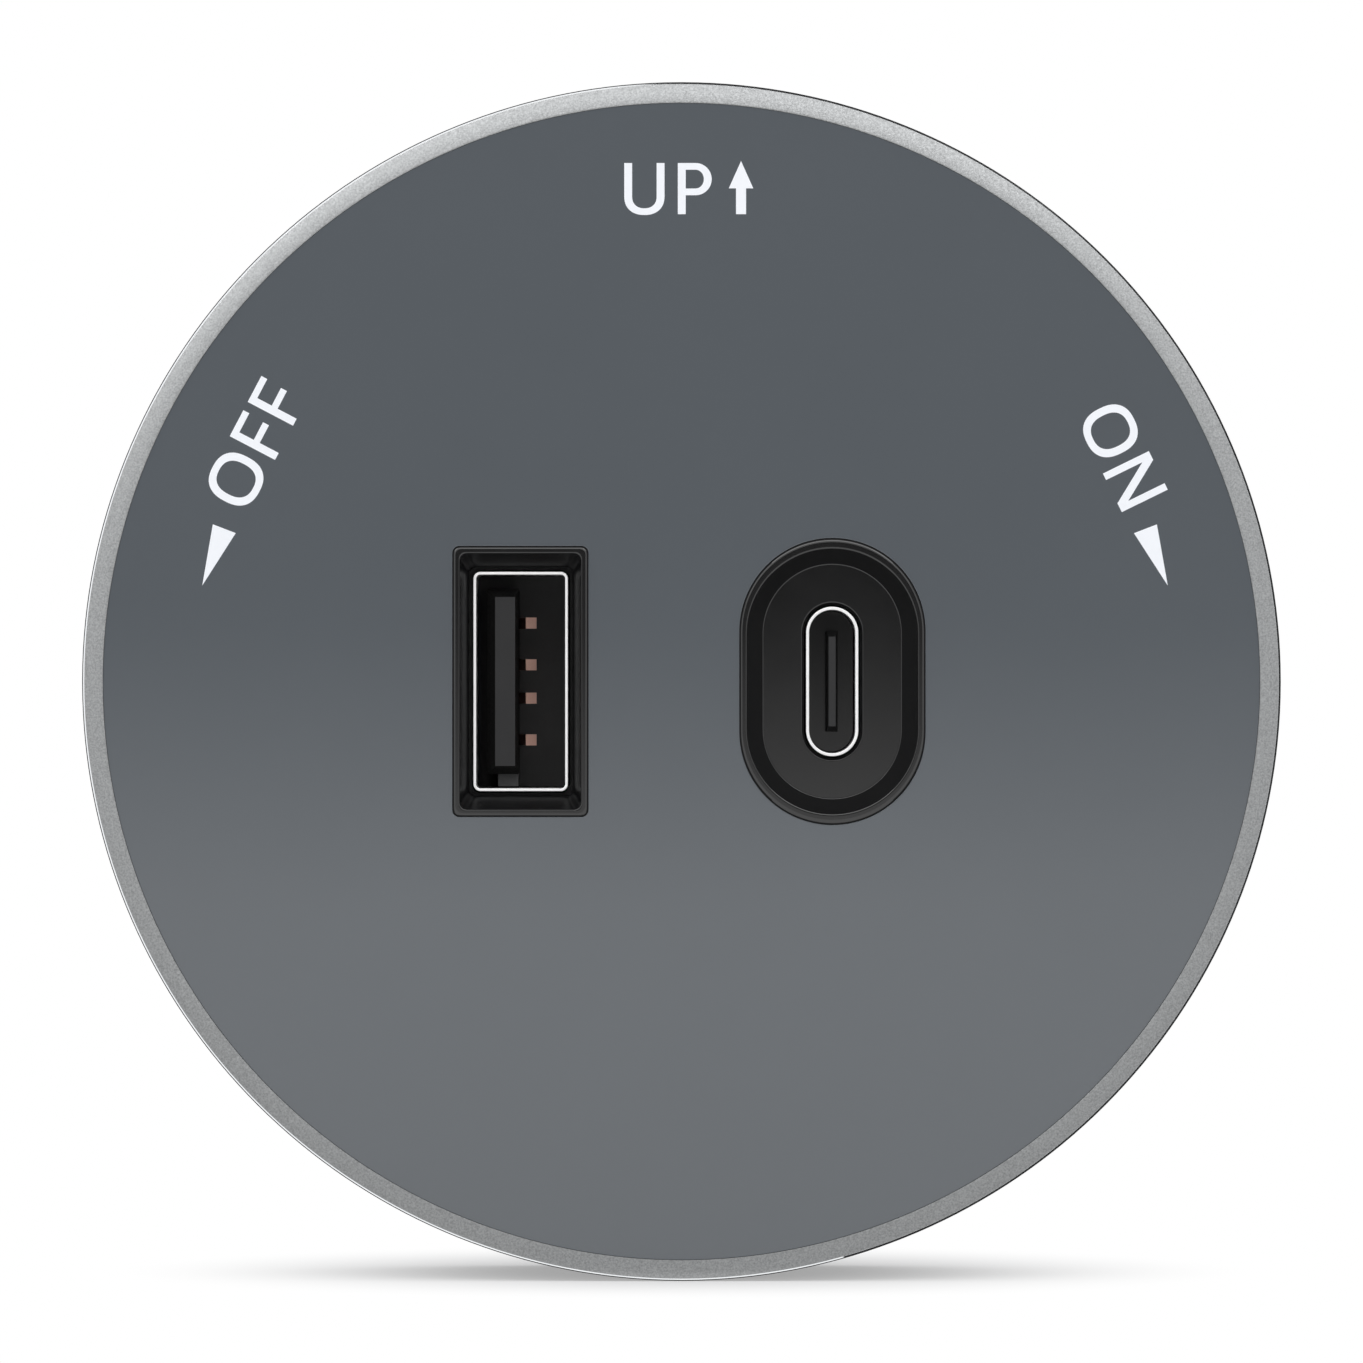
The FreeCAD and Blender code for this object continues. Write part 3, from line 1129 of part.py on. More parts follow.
def spring(depth):
    """Coil spring on the +X side between the conductor and the collar of the contact.

    Each quarter turn is one arc through three points of the helix.
    """
    wire = SPRING_WIRE / 2
    coil_radius = (CONTACT_SPIGOT_DIAMETER / 2 + COLLAR_RADIUS) / 2
    start = STRIP_FACE + wire + SPRING_END_GAP
    end = COLLAR_INNER_X - wire - SPRING_END_GAP

    def on_helix(turns):
        turn = 2 * math.pi * turns
        x = start + (end - start) * turns / SPRING_TURNS
        return V(x, depth + coil_radius * math.cos(turn), coil_radius * math.sin(turn))

    arcs = []
    for quarter in range(4 * SPRING_TURNS):
        first, middle, last = (on_helix((quarter + part) / 4) for part in (0, 0.5, 1))
        arcs.append(Part.Arc(first, middle, last).toShape())
    path = Part.Wire(arcs)
    direction = arcs[0].tangentAt(arcs[0].FirstParameter)
    section = Part.Wire(Part.makeCircle(wire, on_helix(0), direction))
    return path.makePipeShell([section], True, False)


def all_parts():
    """Every piece of the adapter by name; a list is a group of separate solids."""
    live_contact, earth_contact = contact(LIVE_CONTACT_DEPTH), contact(EARTH_CONTACT_DEPTH)
    live_spring, earth_spring = spring(LIVE_CONTACT_DEPTH), spring(EARTH_CONTACT_DEPTH)
    return {
        "housing_shell": housing_shell(),
        "face_plate": face_plate(),
        "usb_a_bezel": usb_a_bezel(),
        "usb_c_bezel": usb_c_bezel(),
        "usb_a_shell": usb_a_shell(),
        "usb_a_insulator": usb_a_insulator(),
        "usb_a_contacts": usb_a_contacts(),
        "usb_c_shell": usb_c_shell(),
        "usb_c_insulator": usb_c_insulator(),
        "usb_c_contacts": usb_c_contacts(),
        "port_carrier": port_carrier(),
        "circuit_board": circuit_board(),
        "transformer_core": transformer_core(),
        "transformer_bobbin": transformer_bobbin(),
        "transformer_winding": transformer_winding(),
        "bulk_capacitors": bulk_capacitors(),
        "output_capacitors": output_capacitors(),
        "x_capacitor": x_capacitor(),
        "y_capacitor": standing_disc("y_capacitor", Y_CAPACITOR_DIAMETER, Y_CAPACITOR_THICKNESS),
        "choke_core": choke_core(),
        "choke_windings": choke_windings(),
        "bridge_rectifier": bridge_rectifier(),
        "fuse": fuse(),
        "varistor": standing_disc("varistor", VARISTOR_DIAMETER, VARISTOR_THICKNESS),
        "control_chips": control_chips(),
        "output_inductor": output_inductor(),
        "rear_cover": rear_cover(),
        "rear_cover_screws": rear_cover_screws(),
        "track_foot": track_foot(),
        "retaining_ring": retaining_ring(),
        "thrust_washer": thrust_washer(),
        "key_bridge": key_bridge(),
        "bridge_screws": bridge_screws(),
        "key_screws": key_screws(),
        "key_half_upper": key_half(1),
        "key_half_lower": key_half(-1),
        "clamp_screws": clamp_screws(),
        "line_strip": live_strip(),
        "neutral_strip": mirrored(live_strip()),
        "earth_strip": earth_strip(),
        "line_contact": live_contact,
        "neutral_contact": mirrored(live_contact),
        "earth_contact_right": earth_contact,
        "earth_contact_left": mirrored(earth_contact),
        "line_spring": live_spring,
        "neutral_spring": mirrored(live_spring),
        "earth_spring_right": earth_spring,
        "earth_spring_left": mirrored(earth_spring),
    }


def main():
    """Write one STEP file for each piece."""
    os.makedirs("parts", exist_ok=True)
    for name, made in all_parts().items():
        shape = Part.makeCompound(made) if isinstance(made, list) else made
        shape.exportStep(f"parts/{name}.step")
        print(f"{name}: {len(shape.Solids)} solid(s), {shape.Volume:.2f} mm3, valid {shape.isValid()}")


main()
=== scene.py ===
"""Finishes, fine meshes and studio for a round USB power adapter that plugs into a powered track.

Sizes are in millimetres and become metres when a mesh is made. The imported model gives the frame:
the origin lies on the face of the track, +Y points into the track, -Y towards the user and +Z up.
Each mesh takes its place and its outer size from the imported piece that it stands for.
"""
from __future__ import annotations

import json
import logging
import math
from collections.abc import Iterable, Sequence
from dataclasses import dataclass, replace
from enum import Enum

import bmesh
import bpy
from bpy.types import Material, Node, NodeSocket, Object, World
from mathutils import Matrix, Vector

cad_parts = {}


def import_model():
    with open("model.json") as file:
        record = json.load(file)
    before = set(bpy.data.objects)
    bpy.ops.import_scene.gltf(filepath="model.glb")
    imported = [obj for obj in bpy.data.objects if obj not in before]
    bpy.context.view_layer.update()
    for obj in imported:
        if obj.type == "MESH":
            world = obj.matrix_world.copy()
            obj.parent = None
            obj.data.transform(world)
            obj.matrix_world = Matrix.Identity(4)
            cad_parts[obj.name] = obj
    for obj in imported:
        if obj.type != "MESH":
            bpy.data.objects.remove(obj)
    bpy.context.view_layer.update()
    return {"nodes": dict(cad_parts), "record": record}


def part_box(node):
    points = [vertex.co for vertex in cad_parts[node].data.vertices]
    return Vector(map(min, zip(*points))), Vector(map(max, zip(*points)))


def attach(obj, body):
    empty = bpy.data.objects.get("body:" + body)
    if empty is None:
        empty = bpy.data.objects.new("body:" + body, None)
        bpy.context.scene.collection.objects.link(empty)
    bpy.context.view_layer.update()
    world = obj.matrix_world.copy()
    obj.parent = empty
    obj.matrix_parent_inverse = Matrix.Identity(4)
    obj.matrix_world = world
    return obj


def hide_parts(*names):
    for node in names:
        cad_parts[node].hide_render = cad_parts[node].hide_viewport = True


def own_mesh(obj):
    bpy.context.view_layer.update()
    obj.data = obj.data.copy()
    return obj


LOG = logging.getLogger("scene")

BODY = "rotor"
MM = 0.001
RING_WIDTH = 1.25
SUPPORT = 0.03  # from the end of a rounded edge to the point that keeps the flat beside it flat
WELD = 1e-5  # points nearer than this become one
ARC_STEPS = 24  # pieces in a quarter turn of a small outline
DISC_STEPS = 64  # pieces in a quarter turn of a wide one
ROUND_STEPS = 10  # pieces in a rounded edge
ROUND_SHARE = 0.49  # most of a side that one rounded edge takes
SHARP_ANGLE = math.radians(38.0)  # edges that bend by more than this stay sharp
STEEP_LIMIT = 0.93  # faces whose normal has less than this along Y are steep
NOISE_RANGE = (0.3, 0.7)  # where nearly all values of a noise lie
WAVE_LENGTH = math.tau / 20.0  # length of one wave of the wave texture at scale 1

Pair = tuple[float, float]
Triple = tuple[float, float, float]
Rims = list[list[Pair]]
Loop = list[Vector]


@dataclass(frozen=True)
class Box:
    """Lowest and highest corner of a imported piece."""

    low: Vector
    high: Vector

    @staticmethod
    def of(node: str) -> Box:
        """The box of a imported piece."""
        low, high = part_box(node)
        return Box(low / MM, high / MM)

    @property
    def middle(self) -> Vector:
        """Middle of the box."""
        return (self.low + self.high) / 2

    @property
    def half(self) -> Vector:
        """Half of the box's size."""
        return (self.high - self.low) / 2

    @property
    def radius(self) -> float:
        """Radius of the largest circle about the axis that stays inside the box."""
        return min(self.high.x, self.high.z, -self.low.x, -self.low.z)


# Finishes


class Lay(Enum):
    """How the fine relief runs; the value stretches its pattern along X, Y and Z."""

    EVEN = (1.0, 1.0, 1.0)
    BRUSHED = (0.06, 1.0, 1.0)
    DRAWN = (1.0, 0.06, 1.0)


class Pattern(Enum):
    """What makes the fine relief; the value names the axes that its ridges cross."""

    SPECKLE = ""
    TURNS = "Z"
    WEAVE = "XZ"


class NodeSheet:
    """Short calls that add and join the nodes of one material or world."""

    def __init__(self, owner: Material | World) -> None:
        """Start from an empty node tree.

        Args:
            owner: What the nodes belong to.
        """
        owner.use_nodes = True
        self.tree = owner.node_tree
        self.tree.nodes.clear()

    def add(self, kind: str, *sources: Node | NodeSocket, **values: object) -> Node:
        """Add a node, with what leads into it and its settings.

        Args:
            kind: The node's type without its ShaderNode prefix.
            *sources: What leads into its first inputs, in order.
            **values: Values or sources by the input's name, with an underscore for each space. A
                name in small letters is a setting of the node itself.

        Returns:
            The new node.
        """
        node = self.tree.nodes.new(f"ShaderNode{kind}")
        for source, socket in zip(sources, node.inputs):
            self._feed(socket, source)
        for name, value in values.items():
            if name.islower():
                setattr(node, name, value)
            else:
                self._feed(node.inputs[name.replace("_", " ")], value)
        return node

    def _feed(self, socket: NodeSocket, value: object) -> None:
        """Set an input, or join it to a socket or to the first output of a node.

        Args:
            socket: The input.
            value: Its value, the socket that leads into it, or the node.
        """
        if isinstance(value, Node):
            value = value.outputs[0]
        if isinstance(value, NodeSocket):
            self.tree.links.new(value, socket)
        else:
            socket.default_value = value

    def noise(self, place: Node, size: float, layers: float) -> Node:
        """A noise whose blobs measure about one size, with finer layers over them."""
        scale = 1.0 / (size * MM)
        return self.add("TexNoise", Vector=place, Scale=scale, Detail=layers, Roughness=0.6)

    def seen(self, share: Node | None = None) -> Node:
        """A value that is 1 for the view itself and for what gloss and glass show.

        Args:
            share: What the view itself gets instead of 1.

        Returns:
            The node with the value.
        """
        path = self.add("LightPath").outputs
        value = path["Is Camera Ray"]
        if share is not None:
            value = self.add("Math", value, share, operation="MULTIPLY")
        for name in ("Is Glossy Ray", "Is Transmission Ray"):
            value = self.add("Math", value, path[name], operation="MAXIMUM")
        return value


@dataclass(frozen=True)
class Finish:
    """Colour, gloss and fine relief of one surface."""

    name: str
    colour: Triple
    metallic: float = 0.0
    roughness: float = 0.45
    rough_spread: float = 0.08  # how far the roughness strays
    tone_spread: float = 0.08  # share by which the colour strays
    tone_size: float = 2.5  # size of the patches in which it strays
    pattern: Pattern = Pattern.SPECKLE
    lay: Lay = Lay.EVEN
    grain: float = 0.14  # size of one grain, thread or turn
    relief: float = 0.004  # height of the relief
    coat: float = 0.0
    specular: float = 0.5  # strength of the reflection under the coat
    grazing: float = 1.0  # tint of the reflection where the view grazes bare metal

    def material(self) -> Material:
        """Make the material, or return it if it is there already.

        Returns:
            The material.
        """
        made = bpy.data.materials.get(self.name)
        if made is not None:
            return made
        made = bpy.data.materials.new(self.name)
        sheet = NodeSheet(made)
        where = sheet.add("TexCoord").outputs["Object"]
        place = sheet.add("Mapping", Vector=where, Scale=self.lay.value)
        grains = sheet.noise(place, size=2.0 * self.grain, layers=4.0)
        rough = sheet.add(
            "MapRange", Value=grains, From_Min=NOISE_RANGE[0], From_Max=NOISE_RANGE[1],
            To_Min=max(0.0, self.roughness - self.rough_spread),
            To_Max=self.roughness + self.rough_spread)
        bump = sheet.add(
            "Bump", Height=self._height(sheet, place), Strength=1.0, Distance=self.relief * MM)
        shader = sheet.add(
            "BsdfPrincipled", Base_Color=self._tone(sheet, place), Roughness=rough, Normal=bump,
            Metallic=self.metallic, Coat_Weight=self.coat, Coat_Roughness=0.03,
            Specular_IOR_Level=self.specular, Specular_Tint=(self.grazing,) * 3 + (1.0,))
        sheet.add("OutputMaterial", Surface=shader)
        return made

    def _tone(self, sheet: NodeSheet, place: Node) -> Node:
        """Colour that strays in soft patches.

        Args:
            sheet: The nodes of the material.
            place: Coordinates of the surface.

        Returns:
            The node with the colour.
        """
        ramp = sheet.add("ValToRGB", Fac=sheet.noise(place, size=self.tone_size, layers=3.0))
        for element, limit, way in zip(ramp.color_ramp.elements, NOISE_RANGE, (-1.0, 1.0)):
            element.position = limit
            shade = 1.0 + self.tone_spread * way
            element.color = (*(min(1.0, part * shade) for part in self.colour), 1.0)
        return ramp

    def _height(self, sheet: NodeSheet, place: Node) -> Node | NodeSocket:
        """Height of the fine relief, which is specks, or rounded ridges of wire or thread.

        Args:
            sheet: The nodes of the material.
            place: Coordinates of the surface.

        Returns:
            What leads into the bump.
        """
        if self.pattern is Pattern.SPECKLE:
            return sheet.noise(place, size=self.grain, layers=2.0)
        scale = WAVE_LENGTH / (self.grain * MM)
        waves = [
            sheet.add("TexWave", Vector=place, Scale=scale, Distortion=0.4, bands_direction=way)
            for way in self.pattern.value]
        heights = [wave.outputs["Fac"] for wave in waves]
        return sheet.add("Math", *heights, operation="MAXIMUM") if heights[1:] else heights[0]


# The finish of each material slot of the record
FINISHES: dict[str, Finish] = {
    "ring_metal": Finish(
        "ring_metal_blasted", (0.315, 0.322, 0.326), metallic=1.0, roughness=0.36,
        rough_spread=0.05, tone_spread=0.24, tone_size=0.11, grain=0.10, relief=0.008),
    "face_gloss": Finish(
        "face_gloss_coated", (0.1035, 0.116, 0.1293), roughness=0.08, rough_spread=0.01,
        tone_spread=0.01, tone_size=9.0, grain=3.0, relief=0.0002, coat=1.0, specular=0.34),
    "bezel_black": Finish(
        "bezel_piano_black", (0.0088, 0.0088, 0.009), roughness=0.12, rough_spread=0.02,
        grain=1.2, relief=0.0004, coat=1.0, specular=0.3),
    "port_steel": Finish(
        "port_nickel_plate", (0.90, 0.90, 0.90), metallic=0.8, roughness=0.42, tone_spread=0.02,
        lay=Lay.DRAWN, grain=0.07, relief=0.0006),
    "port_black": Finish(
        "port_black_nylon", (0.038, 0.038, 0.039), roughness=0.55, grain=0.10, relief=0.003,
        specular=0.3),
    "contact_copper": Finish(
        "contact_copper_alloy", (0.66, 0.42, 0.35), metallic=1.0, roughness=0.5, grain=0.06,
        relief=0.002),
    "case_black": Finish(
        "case_spark_eroded", (0.028, 0.029, 0.030), roughness=0.52, grain=0.20, relief=0.010),
    "key_grey": Finish(
        "key_satin_grey", (0.15, 0.155, 0.16), roughness=0.42, grain=0.16, relief=0.005),
    "board_green": Finish(
        "board_solder_mask", (0.015, 0.13, 0.055), roughness=0.28, tone_spread=0.2,
        tone_size=1.2, pattern=Pattern.WEAVE, grain=0.45, relief=0.006, coat=0.3),
    "ferrite": Finish(
        "ferrite_sintered", (0.055, 0.055, 0.06), roughness=0.7, tone_spread=0.2, grain=0.08,
        relief=0.01),
    "tape_yellow": Finish(
        "tape_polyester", (0.78, 0.58, 0.06), roughness=0.22, tone_spread=0.05,
        pattern=Pattern.TURNS, grain=1.4, relief=0.02, coat=0.4),
    "can_black": Finish("can_shrink_sleeve", (0.018, 0.018, 0.020), roughness=0.25, grain=0.9),
    "can_silver": Finish(
        "can_bare_aluminium", (0.70, 0.70, 0.72), metallic=1.0, roughness=0.32, lay=Lay.DRAWN,
        grain=0.08, relief=0.002),
    "capacitor_yellow": Finish(
        "capacitor_film_box", (0.72, 0.50, 0.08), roughness=0.4, grain=0.25),
    "capacitor_blue": Finish(
        "capacitor_dipped_epoxy", (0.04, 0.20, 0.52), roughness=0.2, tone_spread=0.12,
        grain=0.8, relief=0.012, coat=0.5),
    "chip_black": Finish(
        "chip_moulded_epoxy", (0.016, 0.016, 0.017), roughness=0.62, grain=0.05),
    "wire_copper": Finish(
        "wire_enamelled_copper", (0.68, 0.32, 0.16), metallic=1.0, roughness=0.28,
        pattern=Pattern.TURNS, grain=0.5, relief=0.10, coat=0.6),
    "screw_steel": Finish(
        "screw_zinc_plate", (0.58, 0.58, 0.60), metallic=1.0, roughness=0.34, tone_spread=0.06,
        lay=Lay.BRUSHED, grain=0.10, relief=0.003),
    "pin_brass": Finish(
        "contact_turned_brass", (0.78, 0.60, 0.30), metallic=1.0, roughness=0.24,
        rough_spread=0.04, tone_spread=0.04, lay=Lay.BRUSHED, grain=0.12, relief=0.0004),
    "washer_white": Finish("washer_low_friction", (0.82, 0.82, 0.80), roughness=0.5, grain=0.3),
}
# The finish of the steep faces round an outlet
STEEP: dict[str, Finish] = {
    # Walls of the surround: the satin is real, and their colour, darker than the lip, is painted
    # shade of the recess.
    "bezel_black": Finish(
        "bezel_satin_wall_painted_shade", (0.0052, 0.0052, 0.0056), roughness=0.32, rough_spread=0.04,
        grain=0.3, relief=0.001, specular=0.16),
    "port_steel": FINISHES["port_steel"],
}
PRINT_WHITE = Finish(
    "print_white_ink", (0.92, 0.945, 0.99), roughness=0.38, tone_spread=0.01, grain=0.08,
    relief=0.001, specular=0.3)
TONGUE_TIP = Finish(
    "tongue_moulded_tip", (0.031, 0.031, 0.032), roughness=0.6, tone_spread=0.04, grain=0.10,
    relief=0.002, specular=0.2)
# Painted shade: the tongue's bevel and sides are the same nylon as the tip, darkened to near black to
# stand for the shade round the tip.
TONGUE_FLANK_PAINTED_SHADE = Finish(
    "tongue_flank_painted_shade", (0.004, 0.004, 0.004), roughness=0.7, grain=0.10, relief=0.002,
    specular=0.1)
RING_CUT = Finish(
    "ring_bright_cut", (0.90, 0.92, 0.94), metallic=1.0, roughness=0.14, rough_spread=0.03,
    tone_spread=0.02, grain=0.2, relief=0.0004)
RING_WALL = Finish(
    "ring_dark_anodised", (0.040, 0.041, 0.042), metallic=1.0, roughness=0.40,
    rough_spread=0.06, tone_spread=0.12, tone_size=0.3, grain=0.16, relief=0.006, grazing=0.25)


# Meshes


@dataclass(frozen=True)
class Station:
    """A rectangle with round corners in a plane across Y, one corner of a section round an axis."""

    half_width: float
    half_height: float
    corner: float
    y: float
    soften: float = 0.0  # radius that breaks the edge here, or 0 for a sharp edge

    def grown(self, by: float) -> Station:
        """The same outline with its sides moved outwards."""
        wide, high = self.half_width + by, self.half_height + by
        return replace(self, half_width=wide, half_height=high, corner=max(0.0, self.corner + by))

    def at(self, y: float) -> Station:
        """The same outline at another depth, with a sharp edge."""
        return replace(self, y=y, soften=0.0)

    def sizes(self) -> Vector:
        """The four sizes of the outline as one vector."""
        return Vector((self.half_width, self.half_height, self.corner, self.y))

    def towards(self, other: Station, length: float) -> Vector:
        """The sizes at a given length along the section towards another station."""
        reach = math.hypot(self.half_width - other.half_width, self.y - other.y)
        return self.sizes().lerp(other.sizes(), min(ROUND_SHARE, length / reach))

    def points(self, x: float = 0.0, z: float = 0.0, steps: int = ARC_STEPS) -> Loop:
        """Points of the outline about an axis.

        Args:
            x: Place of the axis along X.
            z: Place of the axis along Z.
            steps: Pieces in a quarter turn.

        Returns:
            As many points for each station, so that outlines join point to point. Where the
            corners meet, as on a circle, neighbours fall together and are welded later.
        """
        corner = min(self.corner, self.half_width, self.half_height)
        inner_x, inner_z = self.half_width - corner, self.half_height - corner
        points = []
        for quarter, (way_x, way_z) in enumerate(((1, 1), (-1, 1), (-1, -1), (1, -1))):
            for step in range(steps + 1):
                turn = math.radians(90.0 * (quarter + step / steps))
                points.append(Vector((
                    x + way_x * inner_x + corner * math.cos(turn), self.y,
                    z + way_z * inner_z + corner * math.sin(turn))))
        return points


def circle(radius: float, y: float, soften: float = 0.0) -> Station:
    """A station that is a circle."""
    return Station(radius, radius, radius, y, soften)


def soften(stations: Sequence[Station], closed: bool = True) -> list[Station]:
    """Break the edges of a section with quarter rounds.

    Args:
        stations: The corners of the section in order.
        closed: Whether the last corner joins the first.

    Returns:
        The corners and the points of the rounds, with a support point outside each round so that
        flat sides keep their own shade.
    """
    done: list[Station] = []
    for index, here in enumerate(stations):
        at_end = not closed and index in (0, len(stations) - 1)
        if here.soften <= 0.0 or at_end:
            done.append(here)
            continue
        before, after = stations[index - 1], stations[(index + 1) % len(stations)]
        start, end = here.towards(before, here.soften), here.towards(after, here.soften)
        middle = here.sizes()
        points = [here.towards(before, here.soften + SUPPORT)]
        for step in range(ROUND_STEPS + 1):
            share = step / ROUND_STEPS
            points.append(start.lerp(middle, share).lerp(middle.lerp(end, share), share))
        points.append(here.towards(after, here.soften + SUPPORT))
        done += [Station(*point) for point in points]
    return done


class Form:
    """A mesh in the making, which ends as a dressed piece."""

    def __init__(self) -> None:
        """Start with no faces."""
        self.mesh = bmesh.new()

    def skin(
        self, loops: Sequence[Loop], closed: bool = False, numbers: Sequence[int] = ()
    ) -> None:
        """Join loops point to point with quads.

        Args:
            loops: The loops in order along the section.
            closed: Whether the last loop joins the first.
            numbers: Material number of the band after each loop, or 0 for all if there are none.
        """
        rings = [[self.mesh.verts.new(point) for point in loop] for loop in loops]
        if closed:
            rings.append(rings[0])
        for band, (ring, following) in enumerate(zip(rings, rings[1:])):
            for index in range(len(ring)):
                face = self.mesh.faces.new((
                    ring[index - 1], ring[index], following[index], following[index - 1]))
                face.material_index = numbers[band] if numbers else 0

    def run(
        self, stations: Sequence[Station], x: float = 0.0, z: float = 0.0,
        steps: int = ARC_STEPS, closed: bool = False
    ) -> tuple[Loop, Loop]:
        """Run a section round an axis.

        Args:
            stations: Corners of the section in order.
            x: Place of the axis along X.
            z: Place of the axis along Z.
            steps: Pieces in a quarter turn.
            closed: Whether the last corner joins the first.

        Returns:
            The first and the last loop.
        """
        loops = [station.points(x, z, steps) for station in stations]
        self.skin(loops, closed)
        return loops[0], loops[-1]

    def fill(self, rims: Iterable[Loop]) -> None:
        """Fill the flat area between an outer rim and the rims inside it.

        Args:
            rims: The rims, all in one plane.
        """
        edges = []
        for rim in rims:
            points = [point for i, point in enumerate(rim) if (point - rim[i - 1]).length > WELD]
            corners = [self.mesh.verts.new(point) for point in points]
            edges += [
                self.mesh.edges.new((corners[i - 1], corners[i])) for i in range(len(corners))]
        bmesh.ops.triangle_fill(self.mesh, use_beauty=True, use_dissolve=False, edges=edges)

    def cap(self) -> None:
        """Close the open ends, which are flat, of what has been made so far."""
        self._weld()
        open_edges = [edge for edge in self.mesh.edges if edge.is_boundary]
        bmesh.ops.holes_fill(self.mesh, edges=open_edges, sides=0)

    def _weld(self) -> None:
        """Make one of points that fall together."""
        bmesh.ops.remove_doubles(self.mesh, verts=self.mesh.verts, dist=WELD)
        bmesh.ops.dissolve_degenerate(self.mesh, edges=self.mesh.edges, dist=WELD)

    def piece(
        self, name: str, *finishes: Finish, node: str | None = None, slot: str | None = None,
        steep: Finish | None = None
    ) -> Object:
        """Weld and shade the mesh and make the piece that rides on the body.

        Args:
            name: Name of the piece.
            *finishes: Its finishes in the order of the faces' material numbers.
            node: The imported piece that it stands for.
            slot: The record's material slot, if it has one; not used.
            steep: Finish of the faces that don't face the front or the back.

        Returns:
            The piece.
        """
        self._weld()
        bmesh.ops.recalc_face_normals(self.mesh, faces=self.mesh.faces)
        bmesh.ops.scale(self.mesh, vec=(MM, MM, MM), verts=self.mesh.verts)
        for edge in self.mesh.edges:
            edge.smooth = len(edge.link_faces) == 2 and edge.calc_face_angle() < SHARP_ANGLE
        for face in self.mesh.faces:
            face.smooth = True
        data = bpy.data.meshes.new(name)
        self.mesh.to_mesh(data)
        self.mesh.free()
        for finish in finishes:
            data.materials.append(finish.material())
        if steep is not None:
            data.materials.append(steep.material())
            for face in data.polygons:
                face.material_index = int(abs(face.normal.y) < STEEP_LIMIT)
        piece = show(name, data)
        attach(piece, BODY)
        if node is not None:
            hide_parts(node)
        LOG.info("%s rides on %s", piece.name, BODY)
        return piece


def show(name: str, data: bpy.types.ID) -> Object:
    """Put an object in the scene.

    Args:
        name: Name of the object.
        data: Its mesh, lamp or camera.

    Returns:
        The object.
    """
    made = bpy.data.objects.new(name, data)
    bpy.context.scene.collection.objects.link(made)
    return made


# Housing


@dataclass
class Housing:
    """Turned cup: blasted ring with a bright-cut edge, dark wall, ledge for the face and ribs."""

    lip_flat: float = 0.10  # width of the flat land at the inside of the ring
    lip_fall: float = 0.35  # how far the ring would fall from its land to the side
    bevel: float = 0.132  # width of the bright bevel, seen from the front
    bevel_depth: float = 0.157  # how far the bevel falls towards the back
    bevel_break: float = 0.006  # how far its first edge is broken to each side
    edge_round: float = 0.092  # reach of the round between the bevel and the side
    rear_cut: float = 0.4  # reach of the round at the rear edge
    blasted_bands: int = 3  # strips of the section from the land to the bevel
    cut_bands: int = ROUND_STEPS + 3  # strips of the bevel with its broken edge
    wall: float = 1.75
    ledge_back: float = 1.2  # from the back of the face to the back of the ledge
    ledge_width: float = 1.0
    rib_width: float = 2.0
    rib_height: float = 1.1
    rib_end: float = 2.05  # from the rear edge to the end of the ribs

    def build(self) -> None:
        """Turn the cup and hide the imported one."""
        box, face_back = Box.of("housing_shell"), Box.of("face_plate").high.y
        radius, front, rear = box.radius, box.low.y, box.high.y
        land, bore = radius - RING_WIDTH, radius - self.wall
        ledge, ledge_back = bore - self.ledge_width, face_back + self.ledge_back
        fall = front + self.lip_fall * (1.0 - self.bevel / (RING_WIDTH - self.lip_flat))
        section = soften([
            circle(land, front), circle(land + self.lip_flat, front),
            circle(radius - self.bevel, fall, self.bevel_break),
            circle(radius, fall + self.bevel_depth, self.edge_round),
            circle(radius, rear, self.rear_cut), circle(bore, rear),
            circle(bore, rear - self.rib_end)])
        loops = [self._loop(station) for station in section]
        loops += [
            self._loop(circle(bore, y), ribbed=True) for y in (rear - self.rib_end, ledge_back)]
        loops += [self._loop(circle(*place)) for place in (
            (ledge, ledge_back), (ledge, face_back), (land, face_back))]
        numbers = [0] * self.blasted_bands + [1] * self.cut_bands
        numbers += [2] * (len(loops) - len(numbers))
        form = Form()
        form.skin(loops, closed=True, numbers=numbers)
        form.piece(
            "housing_cup", FINISHES["ring_metal"], RING_CUT, RING_WALL, node="housing_shell",
            slot="ring_metal")

    def _loop(self, station: Station, ribbed: bool = False) -> Loop:
        """Points of one circle, with the same number of points at the ribs in each.

        Args:
            station: Radius and place of the circle.
            ribbed: Whether the ribs stand inwards here.

        Returns:
            The points, a quarter turn after a quarter turn.
        """
        radius, half = station.half_width, self.rib_width / 2
        inner = radius - self.rib_height if ribbed else radius
        side = math.sqrt(radius ** 2 - half ** 2)
        rib = inner if ribbed else side
        start = math.asin(half / radius)
        quarter = [(side, -half), (rib, -half), (inner, 0.0), (rib, half), (side, half)]
        for step in range(1, DISC_STEPS):
            turn = start + (math.pi / 2 - 2 * start) * step / DISC_STEPS
            quarter.append((radius * math.cos(turn), radius * math.sin(turn)))
        points = []
        for _ in range(4):
            points += [Vector((x, station.y, z)) for x, z in quarter]
            quarter = [(-z, x) for x, z in quarter]
        return points


